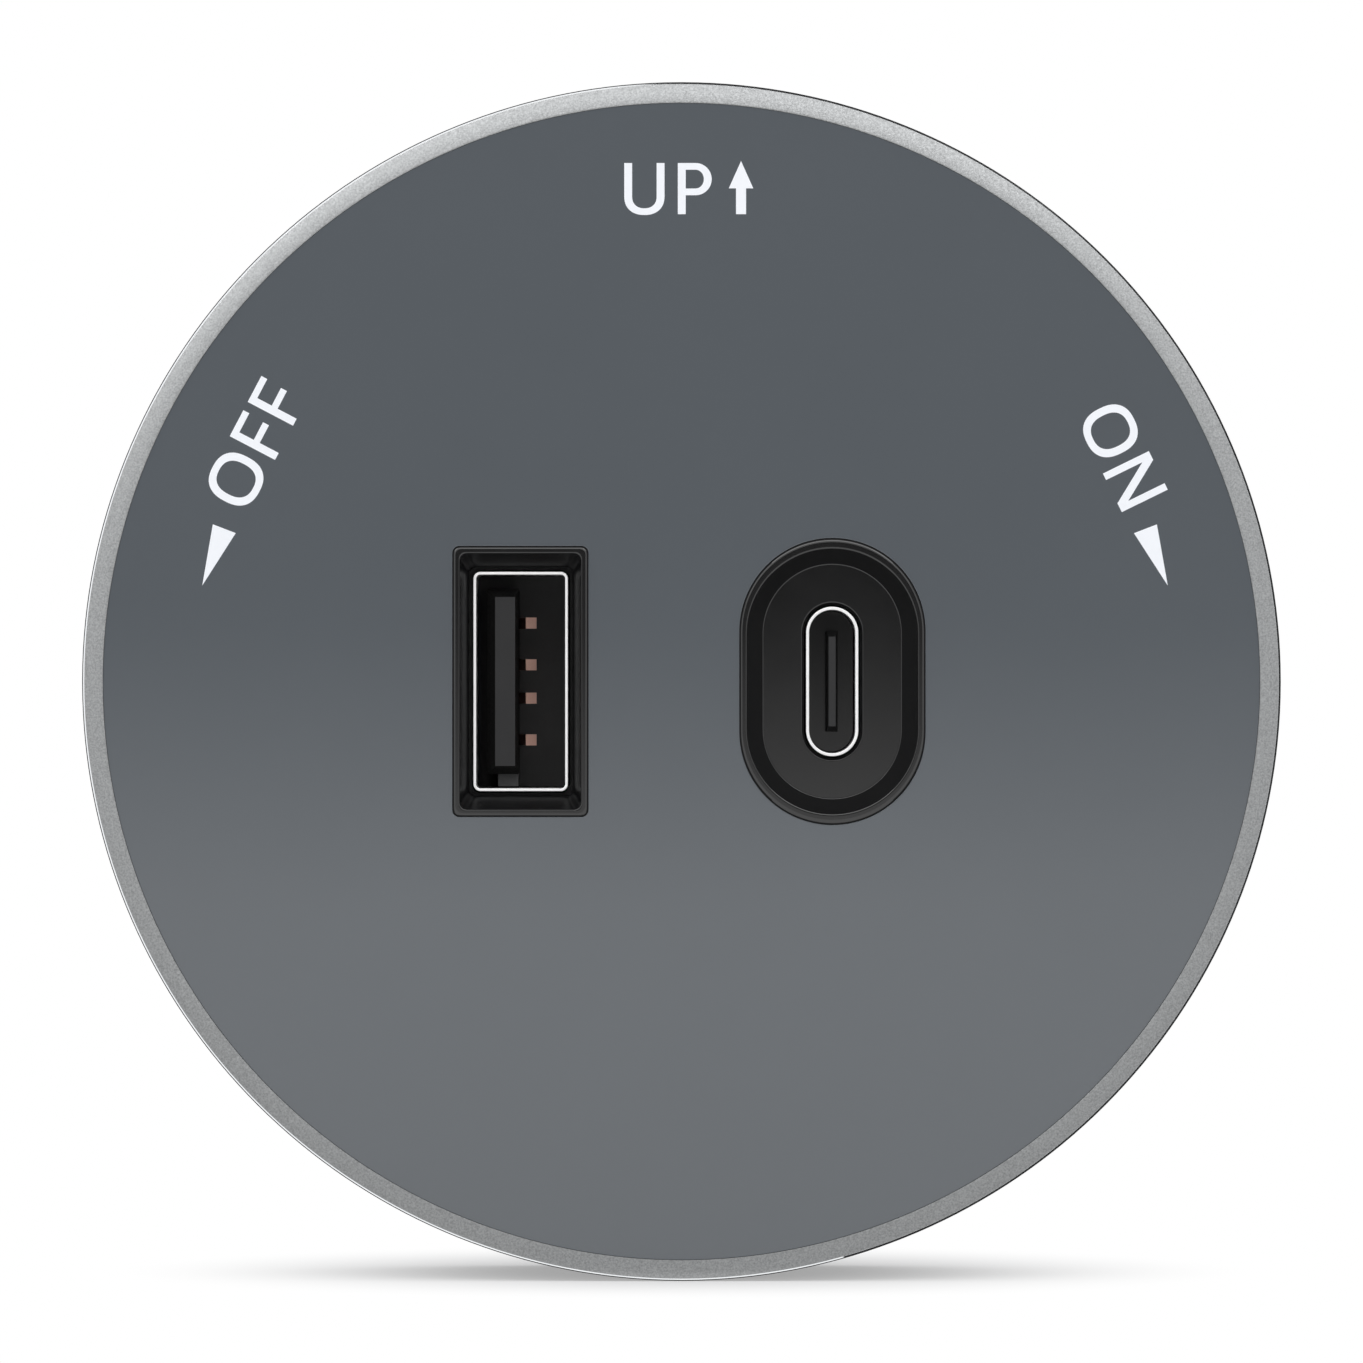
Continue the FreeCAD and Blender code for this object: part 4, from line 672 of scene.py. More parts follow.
@dataclass
class RearCover:
    """Disc that closes the back, with its spigot, posts, screw seats and stop groove."""

    thickness: float = 1.6
    edge_cut: float = 0.5  # reach of the round at its edge
    hub_hole: float = 12.05  # radius of the hole that turns on the foot's hub
    spigot: Pair = (32.3, 33.9)  # inner and outer radius
    spigot_length: float = 2.0
    post_circle: float = 29.0  # radius on which the four long posts stand
    post: float = 3.25  # radius of a long post; the next two are its hole and its screw seat
    post_hole: float = 1.45
    seat: float = 2.5
    seat_depth: float = 2.0
    key_post_circle: float = 17.0  # the same for the four short posts
    key_post: float = 2.5
    key_hole: float = 1.03
    groove_circle: float = 20.0  # radius of the middle of the stop groove
    groove_half: float = 1.35
    groove_depth: float = 1.15
    groove_turns: Pair = (45.0, 135.0)  # where its round ends lie, in degrees from +X towards +Z

    def build(self) -> None:
        """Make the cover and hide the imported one."""
        box, form = Box.of("rear_cover"), Form()
        back, rim = box.high.y, box.radius
        front, end = back - self.thickness, back - self.thickness - self.spigot_length
        inner, outer = self.spigot
        edge = soften([
            circle(inner, front), circle(inner, end), circle(outer, end), circle(outer, front),
            circle(rim, front), circle(rim, back, self.edge_cut),
            circle(rim - 2 * self.edge_cut, back)], closed=False)
        ends = [form.run(edge, steps=DISC_STEPS)]
        ends.append(form.run([circle(self.hub_hole, front), circle(self.hub_hole, back)]))
        seat, tip, bridge = back - self.seat_depth, box.low.y, Box.of("key_bridge").high.y
        long_post = [
            circle(self.post, front), circle(self.post, tip), circle(self.post_hole, tip),
            circle(self.post_hole, seat), circle(self.seat, seat), circle(self.seat, back)]
        short_post = [
            circle(self.key_post, front), circle(self.key_post, bridge),
            circle(self.key_hole, bridge), circle(self.key_hole, front)]
        fronts, backs = (list(side) for side in zip(*ends))
        for quarter in range(4):
            turn = math.pi / 2 * quarter
            x, z = math.cos(turn), math.sin(turn)
            reach = self.post_circle / math.sqrt(2.0)
            first, last = form.run(long_post, reach * (x - z), reach * (x + z))
            fronts.append(first)
            backs.append(last)
            reach = self.key_post_circle
            first, last = form.run(short_post, reach * x, reach * z)
            fronts.append(first)
            form.fill([last])
        mouth, floor = self._groove(back), self._groove(back - self.groove_depth)
        form.skin([mouth, floor])
        for rims in ([floor], fronts, [*backs, mouth]):
            form.fill(rims)
        form.piece("rear_cover_disc", FINISHES["case_black"], node="rear_cover", slot="case_black")

    def _groove(self, y: float) -> Loop:
        """Outline of the stop groove.

        Args:
            y: Place of the outline.

        Returns:
            The points, out along the wide arc and back along the narrow one.
        """
        start, end = (math.radians(turn) for turn in self.groove_turns)
        half, points = self.groove_half, []
        for radius, begin, finish in (
                (self.groove_circle + half, start, end), (self.groove_circle - half, end, start)):
            for step in range(DISC_STEPS + 1):
                turn = begin + (finish - begin) * step / DISC_STEPS
                points.append(Vector((radius * math.cos(turn), y, radius * math.sin(turn))))
            middle = Vector((math.cos(finish), 0.0, math.sin(finish))) * self.groove_circle
            for step in range(1, ARC_STEPS):
                turn = finish + (0.0 if finish == end else math.pi) + math.pi * step / ARC_STEPS
                points.append(middle + Vector((half * math.cos(turn), y, half * math.sin(turn))))
        return points


# Outlets


@dataclass(frozen=True)
class Tongue:
    """Tongue with a matt tip, and a bevel and sides painted near black as the shade round the tip."""

    name: str
    tip_size: Pair  # width and height
    flank_size: Pair  # width and height behind the bevel
    tip_x: float = 0.0  # middle of the tip, from the middle of the outlet
    flank_x: float = 0.0  # the same for the flank
    bevel_depth: float = 0.35

    def build(self, x: float, tip: float, root: float) -> None:
        """Make the tongue.

        Args:
            x: Middle of the outlet.
            tip: Y of the tip.
            root: Y of the end in the cavity floor.
        """
        tip_w, tip_h = (size / 2 for size in self.tip_size)
        flank_w, flank_h = (size / 2 for size in self.flank_size)
        flank = Station(flank_w, flank_h, 0.0, tip + self.bevel_depth)
        form = Form()
        form.skin([
            Station(tip_w, tip_h, 0.0, tip).points(x + self.tip_x),
            flank.points(x + self.flank_x), flank.at(root).points(x + self.flank_x)])
        form.cap()
        form.piece(self.name, TONGUE_TIP, steep=TONGUE_FLANK_PAINTED_SHADE)


@dataclass(frozen=True)
class ContactLeaves:
    """Four leaves that bow away from the tongue and turn back towards it near the front."""

    places: tuple[float, ...] = (3.5, 1.0, -1.0, -3.5)  # middle of each leaf along Z
    width: float = 0.66
    thickness: float = 0.25
    bow: float = 1.08  # how far the crest stands off the tongue
    tip_off: float = 0.45  # how far the tip stands off the tongue
    tip_depth: float = 1.9  # this and the next two from the tongue's tip
    crest_depth: float = 2.35
    foot_depth: float = 7.0
    crest_length: float = 0.7

    def build(self, side: float, tip: float, root: float) -> None:
        """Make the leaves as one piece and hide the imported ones.

        Args:
            side: X of the tongue's side that carries them.
            tip: Y of the tongue's tip.
            root: Y of the cavity floor.
        """
        thick, crest_end = self.thickness, self.crest_depth + self.crest_length
        slant = thick * (self.crest_depth - self.tip_depth) / (self.bow - self.tip_off)
        section = [
            (self.tip_off, tip + self.tip_depth), (self.bow, tip + self.crest_depth),
            (self.bow, tip + crest_end), (thick, tip + self.foot_depth), (thick, root), (0.0, root),
            (0.0, tip + self.foot_depth), (self.bow - thick, tip + crest_end),
            (self.bow - thick, tip + self.crest_depth + slant),
            (self.tip_off, tip + self.tip_depth + thick)]
        form = Form()
        for z in self.places:
            form.skin([
                [Vector((side + off, y, z + way * self.width / 2)) for off, y in section]
                for way in (-1, 1)])
        form.cap()
        form.piece(
            "usb_a_leaves", FINISHES["contact_copper"], node="usb_a_contacts",
            slot="contact_copper")


@dataclass
class Port:
    """An outlet: a surround in the face, with the metal shell and the tongue inside it."""

    bezel: str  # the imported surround, shell and block that carries the tongue
    shell: str
    block: str
    body_corner: float  # corner radius of the surround
    shell_corner: float  # corner radius of the shell outside
    shell_wall: float
    cavity_depth: float  # from the shell's rim to the floor
    tongue: Tongue
    block_finish: str = "port_black"
    shell_round: float = 0.06  # round along the shell's rim
    trim: float = 0.03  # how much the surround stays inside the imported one
    flange: float = 1.0  # how far the surround reaches behind the face on each side
    outer_round: float = 0.18  # round along the lip outside
    inner_round: float = 0.06  # round along the lip inside
    floor_round: float = 0.05  # round along the inner edges of the recess

    @property
    def x(self) -> float:
        """Middle of the outlet along X."""
        return Box.of(self.bezel).middle.x

    @property
    def tip(self) -> float:
        """Y of the tongue's tip."""
        return Box.of(self.block).low.y

    @property
    def floor(self) -> float:
        """Y of the cavity floor."""
        return Box.of(self.shell).low.y + self.cavity_depth

    def rim(self, y: float, grow: float = 0.0) -> Station:
        """Outline of the surround at a place along Y, with some space left round it."""
        half, inset = Box.of(self.bezel).half, self.flange + self.trim
        return Station(half.x - inset, half.z - inset, self.body_corner, y).grown(grow)

    def recess(self, front: float) -> list[Station]:
        """Section of the recess from the lip at the front to the throat round the shell."""
        raise NotImplementedError

    def beside_tongue(self, form: Form) -> None:
        """Add what stands on the block beside the tongue."""

    def build(self) -> None:
        """Make the surround, the shell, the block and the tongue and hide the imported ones."""
        self._surround()
        self._sleeve()
        self._block()
        self.tongue.build(self.x, self.tip, self.floor)

    def _ring(self, name: str, stations: Sequence[Station], slot: str, node: str) -> None:
        """Run a closed section round the outlet.

        Args:
            name: Name of the piece.
            stations: Corners of the section.
            slot: Its material slot.
            node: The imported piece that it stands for.
        """
        form = Form()
        form.run(soften(stations), self.x, closed=True)
        form.piece(name, FINISHES[slot], node=node, slot=slot, steep=STEEP[slot])

    def _surround(self) -> None:
        """Black surround with its lip, its recess and the flange behind the face."""
        box, step = Box.of(self.bezel), Box.of("face_plate").high.y
        front, back = box.low.y, box.high.y
        recess = self.recess(front)
        flange = Station(box.half.x, box.half.z, self.body_corner + self.flange, back)
        self._ring(f"{self.bezel}_moulding", [
            replace(self.rim(front), soften=self.outer_round), *recess, recess[-1].at(back),
            flange, flange.at(step), self.rim(step)], "bezel_black", self.bezel)

    def _sleeve(self) -> None:
        """Metal shell with a rolled rim."""
        box = Box.of(self.shell)
        outside = Station(box.half.x, box.half.z, self.shell_corner, box.low.y, self.shell_round)
        inside = outside.grown(-self.shell_wall)
        self._ring(
            f"{self.shell}_sleeve",
            [outside.at(box.high.y), outside, inside, inside.at(box.high.y)], "port_steel",
            self.shell)

    def _block(self) -> None:
        """Block behind the cavity, which the tongue stands on."""
        box = Box.of(self.block)
        base = Station(box.half.x, box.half.z, self.shell_corner - self.shell_wall, self.floor)
        form = Form()
        form.run([base, base.at(box.high.y)], self.x)
        self.beside_tongue(form)
        form.cap()
        form.piece(
            f"{self.block}_moulding", FINISHES[self.block_finish], node=self.block,
            slot="port_black")


@dataclass
class WidePort(Port):
    """The USB-A outlet: rectangular funnel, thick tongue and four leaves."""

    lip: float = 0.42  # width of the raised lip
    mouth_corner: float = 0.43  # corner radius of the funnel
    funnel_depth: float = 1.45
    throat_gap: float = 0.27  # space between the shell and the throat
    guide_size: Pair = (1.2, 0.74)  # width and height of the guide below the tongue
    guide_setback: float = 1.5  # from the tip of the tongue back to the guide

    @property
    def leaf_side(self) -> float:
        """X of the tongue's side that carries the leaves."""
        return self.x + self.tongue.flank_x + self.tongue.flank_size[0] / 2

    def recess(self, front: float) -> list[Station]:
        """Funnel that narrows to the throat round the shell.

        Args:
            front: Y of the lip.

        Returns:
            Its mouth and its throat.
        """
        half, corner = Box.of(self.shell).half, self.mouth_corner
        mouth = replace(self.rim(front, -self.lip), corner=corner, soften=self.inner_round)
        throat = Station(
            half.x + self.throat_gap, half.z + self.throat_gap, corner,
            front + self.funnel_depth, self.floor_round)
        return [mouth, throat]

    def beside_tongue(self, form: Form) -> None:
        """Add the guide below the tongue.

        Args:
            form: The block.
        """
        half_w, half_h = (size / 2 for size in self.guide_size)
        guide = Station(half_w, half_h, 0.0, self.tip + self.guide_setback)
        z = -self.tongue.flank_size[1] / 2 - half_h
        form.run([guide, guide.at(self.floor)], self.leaf_side - half_w, z)

    def build(self) -> None:
        """Make the outlet with its leaves."""
        super().build()
        ContactLeaves().build(self.leaf_side, self.tip, self.floor)


@dataclass
class SmallPort(Port):
    """The USB-C outlet: round-ended recess with a flat floor and a thin tongue."""

    lip: Pair = (0.42, 0.62)  # width of the lip at the sides and at the ends
    recess_depth: float = 1.5
    floor_size: Pair = (8.32, 14.07)  # width and height of the floor
    slot_gap: float = 0.22  # space between the floor and the shell
    slot_round: float = 0.06

    def recess(self, front: float) -> list[Station]:
        """Sloping wall, flat floor and the slot round the shell.

        Args:
            front: Y of the lip.

        Returns:
            The mouth, the floor and the slot.
        """
        rim, shell = self.rim(front), Box.of(self.shell)
        mouth_w, mouth_h = rim.half_width - self.lip[0], rim.half_height - self.lip[1]
        floor_w, floor_h = (size / 2 for size in self.floor_size)
        slot_w, slot_h = shell.half.x + self.slot_gap, shell.half.z + self.slot_gap
        floor = front + self.recess_depth
        slot = Station(slot_w, slot_h, slot_w, floor, self.slot_round)
        return [
            Station(mouth_w, mouth_h, mouth_w, front, self.inner_round),
            Station(floor_w, floor_h, floor_w, floor, self.floor_round),
            slot, slot.at(floor + 2 * self.slot_round)]


USB_A = WidePort(
    "usb_a_bezel", "usb_a_shell", "usb_a_insulator", body_corner=0.40, shell_corner=0.45,
    shell_wall=0.19, cavity_depth=10.0,
    tongue=Tongue(
        "usb_a_tongue", (1.19, 10.1), (1.87, 11.06), tip_x=-0.94, flank_x=-1.105,
        bevel_depth=0.8))
USB_C = SmallPort(
    "usb_c_bezel", "usb_c_shell", "usb_c_insulator", body_corner=5.53, shell_corner=1.57,
    shell_wall=0.20, cavity_depth=6.2, block_finish="bezel_black",
    tongue=Tongue("usb_c_tongue", (0.42, 5.36), (0.66, 6.0)))


# Face


@dataclass
class FacePlate:
    """Glossy disc with an opening for the surround of each outlet."""

    ports: tuple[Port, ...]
    edge_round: float = 0.03  # round along the rim and the openings
    opening_gap: float = 0.012  # space round each surround
    rim_gap: float = 0.008  # space between the plate and the ring

    def build(self) -> None:
        """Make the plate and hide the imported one."""
        box, form = Box.of("face_plate"), Form()
        radius = Box.of("housing_shell").radius - RING_WIDTH - self.rim_gap
        front, land = box.low.y, self.edge_round + 2 * SUPPORT
        rims = [(circle(radius, front), -land, 0.0, DISC_STEPS)]
        for port in self.ports:
            rims.append((port.rim(front, self.opening_gap), land, port.x, ARC_STEPS))
        edges = []
        for rim, reach, x, steps in rims:
            section = [rim.grown(reach), replace(rim, soften=self.edge_round), rim.at(box.high.y)]
            edges.append(form.run(soften(section, closed=False), x, steps=steps))
        for flat in zip(*edges):
            form.fill(flat)
        form.piece("face_disc", FINISHES["face_gloss"], node="face_plate", slot="face_gloss")


class Glyph(Enum):
    """What the face carries in print; the value is its width."""

    U = 2.40
    P = 2.02
    O = 2.96
    F = 1.75
    N = 2.56
    ARROW = 1.46


@dataclass(frozen=True)
class Lettering:
    """Plain upright letters of one height, each drawn from its lower left corner."""

    height: float = 3.05
    stem: float = 0.47  # width of an upright stroke
    arm: float = 0.40  # width of a level stroke
    overshoot: float = 0.05  # how far a round letter passes the lines
    p_bowl: float = 1.92  # height of the bowl
    o_arm: float = 0.43  # width of the level stroke of an O
    f_middle: Pair = (1.66, 1.37)  # reach of the middle arm, and its depth below the top
    n_stem: float = 0.43  # width of the upright stroke of an N
    n_slope: float = 0.155  # how much wider the slanted stroke starts than a stem
    n_fall: float = 0.6405  # where the slanted stroke meets the other stem, from the foot
    u_foot: float = 0.92  # height of the foot as a share of half the width
    arrow_rise: float = 0.12  # how far the arrow passes the letters
    arrow_stem: float = 0.60
    arrow_head: float = 1.63
    o_fullness: float = 2.45  # 2 for an ellipse and more for squarer shoulders
    u_fullness: float = 2.25
    curve_steps: int = 14  # pieces in a quarter turn

    def _oval(self, centre: Pair, half: Pair, turns: Pair, fullness: float = 2.0) -> list[Pair]:
        """Points along a part of an oval.

        Args:
            centre: Middle of the oval.
            half: Half of its width and height.
            turns: Start and end in quarter turns, from the right and upwards.
            fullness: 2 for an ellipse and more for squarer shoulders.

        Returns:
            The points in order.
        """
        start, end = turns
        count = round(self.curve_steps * abs(end - start))
        points = []
        for step in range(count + 1):
            turn = math.pi / 2 * (start + (end - start) * step / count)
            c, s = math.cos(turn), math.sin(turn)
            points.append((
                centre[0] + half[0] * math.copysign(abs(c) ** (2 / fullness), c),
                centre[1] + half[1] * math.copysign(abs(s) ** (2 / fullness), s)))
        return points

    def rims(self, glyph: Glyph) -> Rims:
        """Outer rim of a glyph, then the rim of its counter if it has one."""
        return {
            Glyph.U: self._u, Glyph.P: self._p, Glyph.O: self._o, Glyph.F: self._f,
            Glyph.N: self._n, Glyph.ARROW: self._arrow}[glyph]()

    def _u(self) -> Rims:
        """Two stems joined by a round foot.

        Returns:
            The outer rim.
        """
        width, top, stem = Glyph.U.value, self.height, self.stem
        half, foot = width / 2, width / 2 * self.u_foot
        middle, inner_half = (half, foot - self.overshoot), (half - stem, foot - self.arm)
        outer = self._oval(middle, (half, foot), (2, 4), self.u_fullness)
        inner = self._oval(middle, inner_half, (4, 2), self.u_fullness)
        return [[(0, top), *outer, (width, top), (width - stem, top), *inner, (stem, top)]]

    def _p(self) -> Rims:
        """Stem with a closed bowl.

        Returns:
            The outer rim and the counter.
        """
        top, stem, half = self.height, self.stem, self.p_bowl / 2
        centre, inner = (Glyph.P.value - half, top - half), half - self.arm
        outer = self._oval(centre, (half, half), (1, -1))
        counter = self._oval(centre, (half - stem, inner), (-1, 1))
        return [
            [(0, 0), (0, top), *outer, (stem, centre[1] - half), (stem, 0)],
            [(stem, centre[1] - inner), *counter, (stem, centre[1] + inner)]]

    def _o(self) -> Rims:
        """Ring of even weight.

        Returns:
            The outer rim and the counter.
        """
        half, high = Glyph.O.value / 2, self.height / 2 + self.overshoot
        sizes = (half, high), (half - self.stem, high - self.o_arm)
        return [
            self._oval((half, self.height / 2), size, (0, 4), self.o_fullness)[:-1]
            for size in sizes]

    def _f(self) -> Rims:
        """Stem with two arms.

        Returns:
            The outer rim.
        """
        width, top, arm, stem = Glyph.F.value, self.height, self.arm, self.stem
        reach, shelf = self.f_middle[0], top - self.f_middle[1]
        return [[
            (0, 0), (0, top), (width, top), (width, top - arm), (stem, top - arm), (stem, shelf),
            (reach, shelf), (reach, shelf - arm), (stem, shelf - arm), (stem, 0)]]

    def _n(self) -> Rims:
        """Two stems and a slanted stroke.

        Returns:
            The outer rim.
        """
        width, top, stem, fall = Glyph.N.value, self.height, self.n_stem, self.n_fall
        shoulder = stem + self.n_slope
        return [[
            (0, 0), (0, top), (shoulder, top), (width - stem, fall), (width - stem, top),
            (width, top), (width, 0), (width - shoulder, 0), (stem, top - fall), (stem, 0)]]

    def _arrow(self) -> Rims:
        """Arrow that points up.

        Returns:
            The outer rim.
        """
        width, stem, tip = Glyph.ARROW.value, self.arrow_stem / 2, self.height + self.arrow_rise
        half, neck = width / 2, tip - self.arrow_head
        return [[
            (half - stem, 0), (half - stem, neck), (0, neck), (half, tip), (width, neck),
            (half + stem, neck), (half + stem, 0)]]


@dataclass
class PrintedWord:
    """One word on the face."""

    name: str
    glyphs: tuple[Glyph, ...]
    gaps: tuple[float, ...]  # space after each glyph but the last
    start: Pair  # X and Z of the lower left corner of the word
    turn: float  # degrees that its base line turns from +X towards +Z
    pointer: tuple[Pair, ...] = ()  # corners of the triangle beside the word, if it has one
    thickness: float = 0.012  # of the ink on the face
    sink: float = 0.004  # how far the ink reaches into the face
    lettering: Lettering = Lettering()

    def build(self) -> None:
        """Print the word as a thin layer of ink on the face."""
        form, along = Form(), 0.0
        for glyph, gap in zip(self.glyphs, (*self.gaps, 0.0)):
            rims = self.lettering.rims(glyph)
            self._layer(form, [self._placed(rim, along) for rim in rims])
            along += glyph.value + gap
        if self.pointer:
            self._layer(form, [list(self.pointer)])
        form.piece(self.name, PRINT_WHITE)

    def _placed(self, rim: list[Pair], along: float) -> list[Pair]:
        """Move a rim along the base line and turn it onto the face.

        Args:
            rim: Points of the lettering.
            along: Way along the base line.

        Returns:
            The points as X and Z.
        """
        turn = math.radians(self.turn)
        c, s = math.cos(turn), math.sin(turn)
        (left, low), points = self.start, [(x + along, y) for x, y in rim]
        return [(left + x * c - y * s, low + x * s + y * c) for x, y in points]

    def _layer(self, form: Form, rims: Rims) -> None:
        """Add one glyph with its front, its edges and its back.

        Args:
            form: The word.
            rims: Outer rim and counter as X and Z.
        """
        face = Box.of("face_plate").low.y
        near, far = (
            [[Vector((x, y, z)) for x, z in rim] for rim in rims]
            for y in (face - self.thickness, face + self.sink))
        for pair in zip(near, far):
            form.skin(pair)
        form.fill(near)
        form.fill(far)


WORDS = (
    PrintedWord(
        "mark_up", (Glyph.U, Glyph.P, Glyph.ARROW), gaps=(0.794, 1.018), start=(-3.41, 27.855),
        turn=0.0),
    PrintedWord(
        "mark_off", (Glyph.O, Glyph.F, Glyph.F), gaps=(0.61, 0.555), start=(-25.885, 10.045),
        turn=62.3, pointer=((-27.933, 9.370), (-26.568, 8.846), (-28.564, 5.722))),
    PrintedWord(
        "mark_on", (Glyph.O, Glyph.N), gaps=(0.61,), start=(23.55, 15.60), turn=-63.9,
        pointer=((28.338, 9.365), (26.973, 8.840), (28.988, 5.717))),
)


# Key


class Spring(Enum):
    """The springs behind the contacts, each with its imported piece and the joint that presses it."""

    LINE = ("line_spring", "line_contact_press")
    NEUTRAL = ("neutral_spring", "neutral_contact_press")
    EARTH_RIGHT = ("earth_spring_right", "earth_contact_press_right")
    EARTH_LEFT = ("earth_spring_left", "earth_contact_press_left")


@dataclass
class ContactSprings:
    """Wound springs behind the contacts."""

    wire: float = 0.35  # diameter of the wire
    turns: float = 6.5
    closed_turns: float = 0.75  # turns at each end that lie against each other
    closed_pitch: float = 0.315  # rise of a closed turn
    length: float = 4.9  # length in which a spring is wound
    steps: int = 28  # points for each turn
    sides: int = 10  # points round the wire
    travel: float = 0.8  # way that a contact moves in

    def build(self) -> None:
        """Make the four springs."""
        for spring in Spring:
            self._spring(*spring.value)

    def _spring(self, node: str, joint: str) -> None:
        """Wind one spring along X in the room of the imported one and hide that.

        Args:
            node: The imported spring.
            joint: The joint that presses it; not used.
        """
        box = Box.of(node)
        way = 1.0 if box.middle.x > 0 else -1.0
        coil = box.half.z - self.wire / 2
        near, far = sorted((abs(box.low.x), abs(box.high.x)))
        start, end = near + self.wire / 2, far - self.wire / 2
        path = []
        for step in range(round(self.turns * self.steps) + 1):
            turned = step / self.steps
            path.append(Vector((
                way * (self._along(turned) * (end - start) + start),
                box.middle.y + coil * math.cos(math.tau * turned),
                box.middle.z + coil * math.sin(math.tau * turned))))
        form = Form()
        form.skin(self._wire(path))
        form.cap()
        piece = form.piece(
            f"{node}_coil", FINISHES["screw_steel"], node=node, slot="screw_steel")
        length = box.half.x * 2
        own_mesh(piece)

    def _along(self, turned: float) -> float:
        """Share of the length that is reached after some turns.

        Args:
            turned: Turns from the fixed end.

        Returns:
            A share from 0 to 1.
        """
        flat = self.closed_turns
        rise = self.closed_pitch / self.length * flat
        if turned <= flat:
            return rise * turned / flat
        if turned >= self.turns - flat:
            return 1.0 - rise * (self.turns - turned) / flat
        return rise + (1.0 - 2 * rise) * (turned - flat) / (self.turns - 2 * flat)

    def _wire(self, path: Sequence[Vector]) -> list[Loop]:
        """Rings of a round wire along a path.

        Args:
            path: Middle of the wire.

        Returns:
            The rings in order.
        """
        rings = []
        for index, point in enumerate(path):
            ahead = path[min(index + 1, len(path) - 1)] - path[max(index - 1, 0)]
            side = ahead.cross(Vector((1.0, 0.0, 0.0))).normalized()
            up = side.cross(ahead).normalized()
            turns = [math.tau * k / self.sides for k in range(self.sides)]
            rings.append([
                point + self.wire / 2 * (side * math.cos(turn) + up * math.sin(turn))
                for turn in turns])
        return rings


def dress_packed(frame: dict) -> None:
    """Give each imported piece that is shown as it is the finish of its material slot.

    Args:
        frame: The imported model.
    """
    for part in frame["record"]["subparts"]:
        piece, finish = frame["nodes"][part["node"]], FINISHES[part["material_slot"]]
        for index in range(len(piece.data.materials)):
            piece.data.materials[index] = finish.material()
        LOG.info("%s: %s", piece.name, finish.name)


# Studio, in metres


@dataclass(frozen=True)
class Lamp:
    """Soft rectangular lamp that shines at the object."""

    name: str
    place: Triple
    size: Pair  # width and height
    radiance: float  # brightness of its surface, where 1 is white
    target: Triple = (0.0, -0.02, 0.0)

    def build(self) -> None:
        """Hang the lamp."""
        data = bpy.data.lights.new(self.name, "AREA")
        data.shape = "RECTANGLE"
        data.size, data.size_y = self.size
        data.energy = self.radiance * math.pi * self.size[0] * self.size[1]
        lamp = show(self.name, data)
        lamp.location = self.place
        aim = Vector(self.target) - Vector(self.place)
        lamp.rotation_euler = aim.to_track_quat("-Z", "Y").to_euler()
        lamp.visible_camera = False


def flat_piece(name: str, corners: Sequence[Triple], material: Material) -> Object:
    """Make one flat face that belongs to the studio.

    Args:
        name: Name of the piece.
        corners: Its corners in order.
        material: What it is made of.

    Returns:
        The piece.
    """
    data = bpy.data.meshes.new(name)
    data.from_pydata(corners, [], [tuple(range(len(corners)))])
    data.materials.append(material)
    piece = show(name, data)
    return piece


@dataclass(frozen=True)
class Card:
    """Flat card that only reflections show, with a plain or a fading tone."""

    name: str
    corners: tuple[Triple, ...]
    tones: Pair = (0.04, 0.04)  # brightness of its lower and upper part, where 1 is white
    fade: Pair = (0.0, 1.0)  # heights between which one tone passes into the other

    def build(self) -> None:
        """Stand the card up."""
        card = flat_piece(self.name, self.corners, self._material())
        card.visible_camera = False
        card.visible_diffuse = False
        card.visible_shadow = False
        card.visible_transmission = False

    def _material(self) -> Material:
        """Glow whose strength follows the height.

        Returns:
            The material.
        """
        material = bpy.data.materials.new(self.name)
        sheet = NodeSheet(material)
        (bottom, top), (low, high) = self.fade, self.tones
        where = sheet.add("TexCoord").outputs["Object"]
        height = sheet.add("SeparateXYZ", Vector=where).outputs["Z"]
        tone = sheet.add(
            "MapRange", Value=height, From_Min=bottom, From_Max=top, To_Min=low, To_Max=high)
        sheet.add("OutputMaterial", Surface=sheet.add("Emission", Strength=tone))
        return material


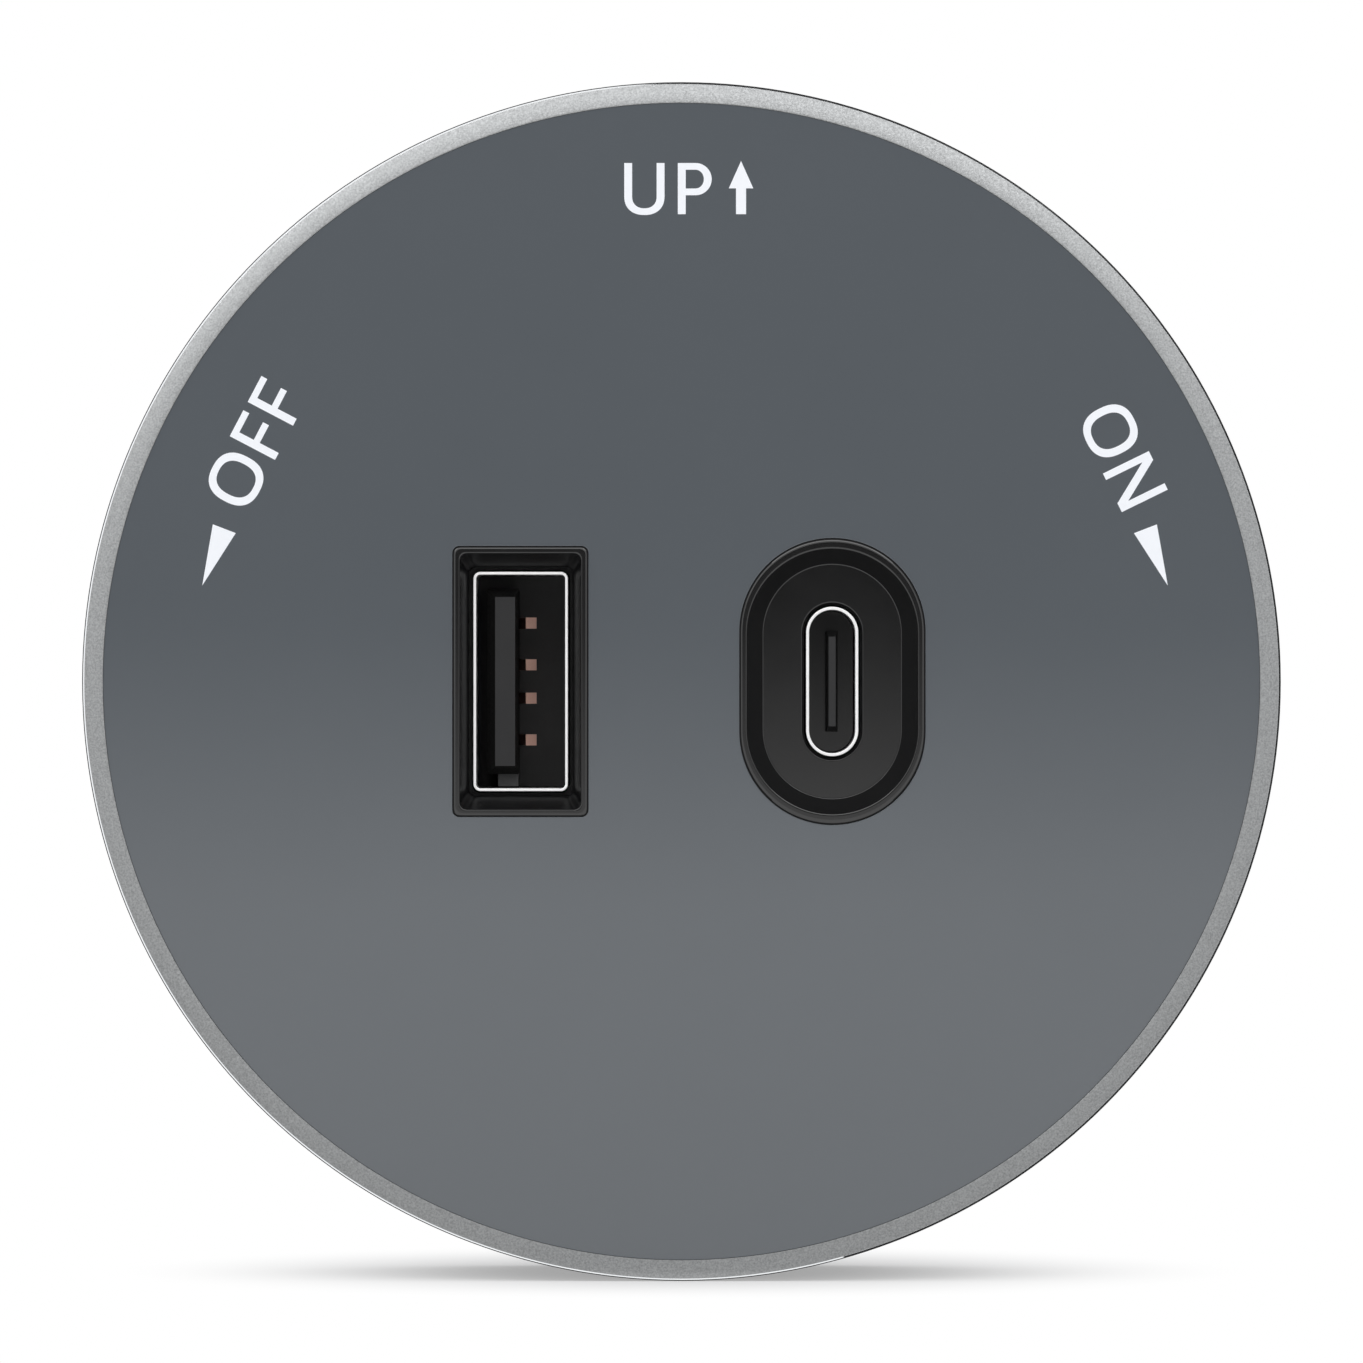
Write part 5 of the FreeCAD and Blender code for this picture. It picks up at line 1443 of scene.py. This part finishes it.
@dataclass
class Studio:
    """Pale floor, white background, soft lamps and the camera of the photograph."""

    lens: float = 400.0  # millimetres, like the next two
    sensor: float = 36.0
    view_width: float = 81.24  # width of the picture at the front of the ring
    ambient: float = 0.78  # brightness of the surroundings for all but the view itself
    floor_half: float = 2.0
    floor_gap: float = 0.00002  # space between the ring and the floor
    floor_colour: Triple = (0.86, 0.86, 0.87)
    shadow_reach: Pair = (0.012, 0.056)  # distances between which the shadow fades out
    shadow_shape: Triple = (1.6, 1.3, 0.0)  # how much nearer it fades along X and Y
    shadow_light: float = 0.35  # white that the view has in the middle of the shadow
    lamps: tuple[Lamp, ...] = (
        Lamp("lamp_key", (-0.14, -1.22, 0.78), (1.5, 0.5), radiance=1.70),
        Lamp("lamp_left", (-0.74, -1.21, 0.52), (0.45, 0.45), radiance=1.05),
        Lamp("lamp_right", (0.60, -1.21, 0.64), (0.45, 0.45), radiance=1.0),
        Lamp("lamp_back", (0.3, 1.2, 1.0), (1.0, 0.8), radiance=1.2),
    )
    cards: tuple[Card, ...] = (
        Card(
            "card_front",
            ((-0.25, -1.6, -0.0355), (0.25, -1.6, -0.0355), (0.25, -1.6, 0.2), (-0.25, -1.6, 0.2)),
            tones=(0.97, 0.04), fade=(-0.034, 0.0096)),
        Card(
            "card_right",
            ((1.1, -0.0295, -0.0355), (1.1, 0.5, -0.0355), (1.1, 0.5, 1.7), (1.1, -0.0295, 1.7))),
        Card(
            "card_foot",
            ((0.010, -0.0299, -0.0355), (1.1, -0.0299, -0.0355), (1.1, 0.4, -0.0355),
             (0.035, -0.018, -0.0355), (0.010, -0.027, -0.0355))),
        # Painted shadow: a pale card on the floor just in front of the ring that puts its contact
        # shadow into reflections, as the floor shows white to gloss.
        Card(
            "card_floor_painted_shadow",
            ((-0.16, -0.0303, -0.0356), (-0.16, -0.11, -0.0356), (-0.06, -0.11, -0.0356),
             (-0.03, -0.06, -0.0356), (0.03, -0.06, -0.0356), (0.06, -0.11, -0.0356),
             (0.16, -0.11, -0.0356), (0.16, -0.0303, -0.0356)), tones=(0.82, 0.82)),
        Card(
            "card_top",
            ((-0.1, -0.0295, 1.7), (1.1, -0.0295, 1.7), (1.1, 0.6, 1.7), (-0.1, 0.6, 1.7))),
    )

    def build(self) -> None:
        """Set up the whole studio."""
        bpy.context.scene.view_settings.view_transform = "Standard"
        ring = Box.of("housing_shell")
        self._camera(ring)
        self._world()
        self._floor(ring)
        for thing in (*self.lamps, *self.cards):
            thing.build()

    def _camera(self, ring: Box) -> None:
        """Stand the camera straight in front of the ring.

        Args:
            ring: Place of the ring.
        """
        data = bpy.data.cameras.new("camera")
        data.lens, data.sensor_width = self.lens, self.sensor
        camera = show("camera", data)
        distance = self.view_width * self.lens / self.sensor
        camera.location = Vector((ring.middle.x, ring.low.y - distance, ring.middle.z)) * MM
        camera.rotation_euler = (math.pi / 2, 0.0, 0.0)
        bpy.context.scene.camera = camera

    def _world(self) -> None:
        """White behind the object and in its reflections, and softer as light on it."""
        world = bpy.context.scene.world = bpy.data.worlds.new("world")
        sheet = NodeSheet(world)
        light, shown = (
            sheet.add("Background", Color=(1.0,) * 4, Strength=strength)
            for strength in (self.ambient, 1.0))
        sheet.add("OutputWorld", Surface=sheet.add("MixShader", sheet.seen(), light, shown))

    def _floor(self, ring: Box) -> None:
        """Pale floor that the ring stands on; from below it isn't seen.

        Args:
            ring: Place of the ring.
        """
        half, level = self.floor_half, ring.low.z * MM - self.floor_gap
        corners = [(x * half, y * half, level) for x, y in ((-1, -1), (1, -1), (1, 1), (-1, 1))]
        flat_piece("floor", corners, self._floor_material(ring.middle.y * MM))

    def _floor_material(self, middle: float) -> Material:
        """White to the eye, with a soft shadow near the object, and clear from below.

        Args:
            middle: Y of the middle of what stands on the floor.

        Returns:
            The material.
        """
        material = bpy.data.materials.new("floor_pale")
        sheet = NodeSheet(material)
        where = sheet.add("TexCoord").outputs["Object"]
        flat = sheet.add(
            "Mapping", Vector=where, Location=(0.0, -middle, 0.0), Scale=self.shadow_shape)
        away = sheet.add("VectorMath", flat, operation="LENGTH").outputs["Value"]
        low, high = self.shadow_reach
        fade = sheet.add(
            "MapRange", Value=away, From_Min=low, From_Max=high, To_Min=self.shadow_light,
            To_Max=1.0, interpolation_type="SMOOTHSTEP")
        plain = sheet.add("BsdfDiffuse", Color=(*self.floor_colour, 1.0))
        white = sheet.add("Emission", Strength=1.0)
        shown = sheet.add("MixShader", sheet.seen(fade), plain, white)
        below = sheet.add("NewGeometry").outputs["Backfacing"]
        whole = sheet.add("MixShader", below, shown, sheet.add("BsdfTransparent"))
        sheet.add("OutputMaterial", Surface=whole)
        return material


def main() -> None:
    """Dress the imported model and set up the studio."""
    logging.basicConfig(level=logging.INFO, format="%(name)s: %(message)s")
    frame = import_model()
    dress_packed(frame)
    makers = (
        Housing(), RearCover(), FacePlate((USB_A, USB_C)), *WORDS, USB_A, USB_C, ContactSprings(),
        Studio())
    for maker in makers:
        maker.build()


if __name__ == "__main__":
    main()
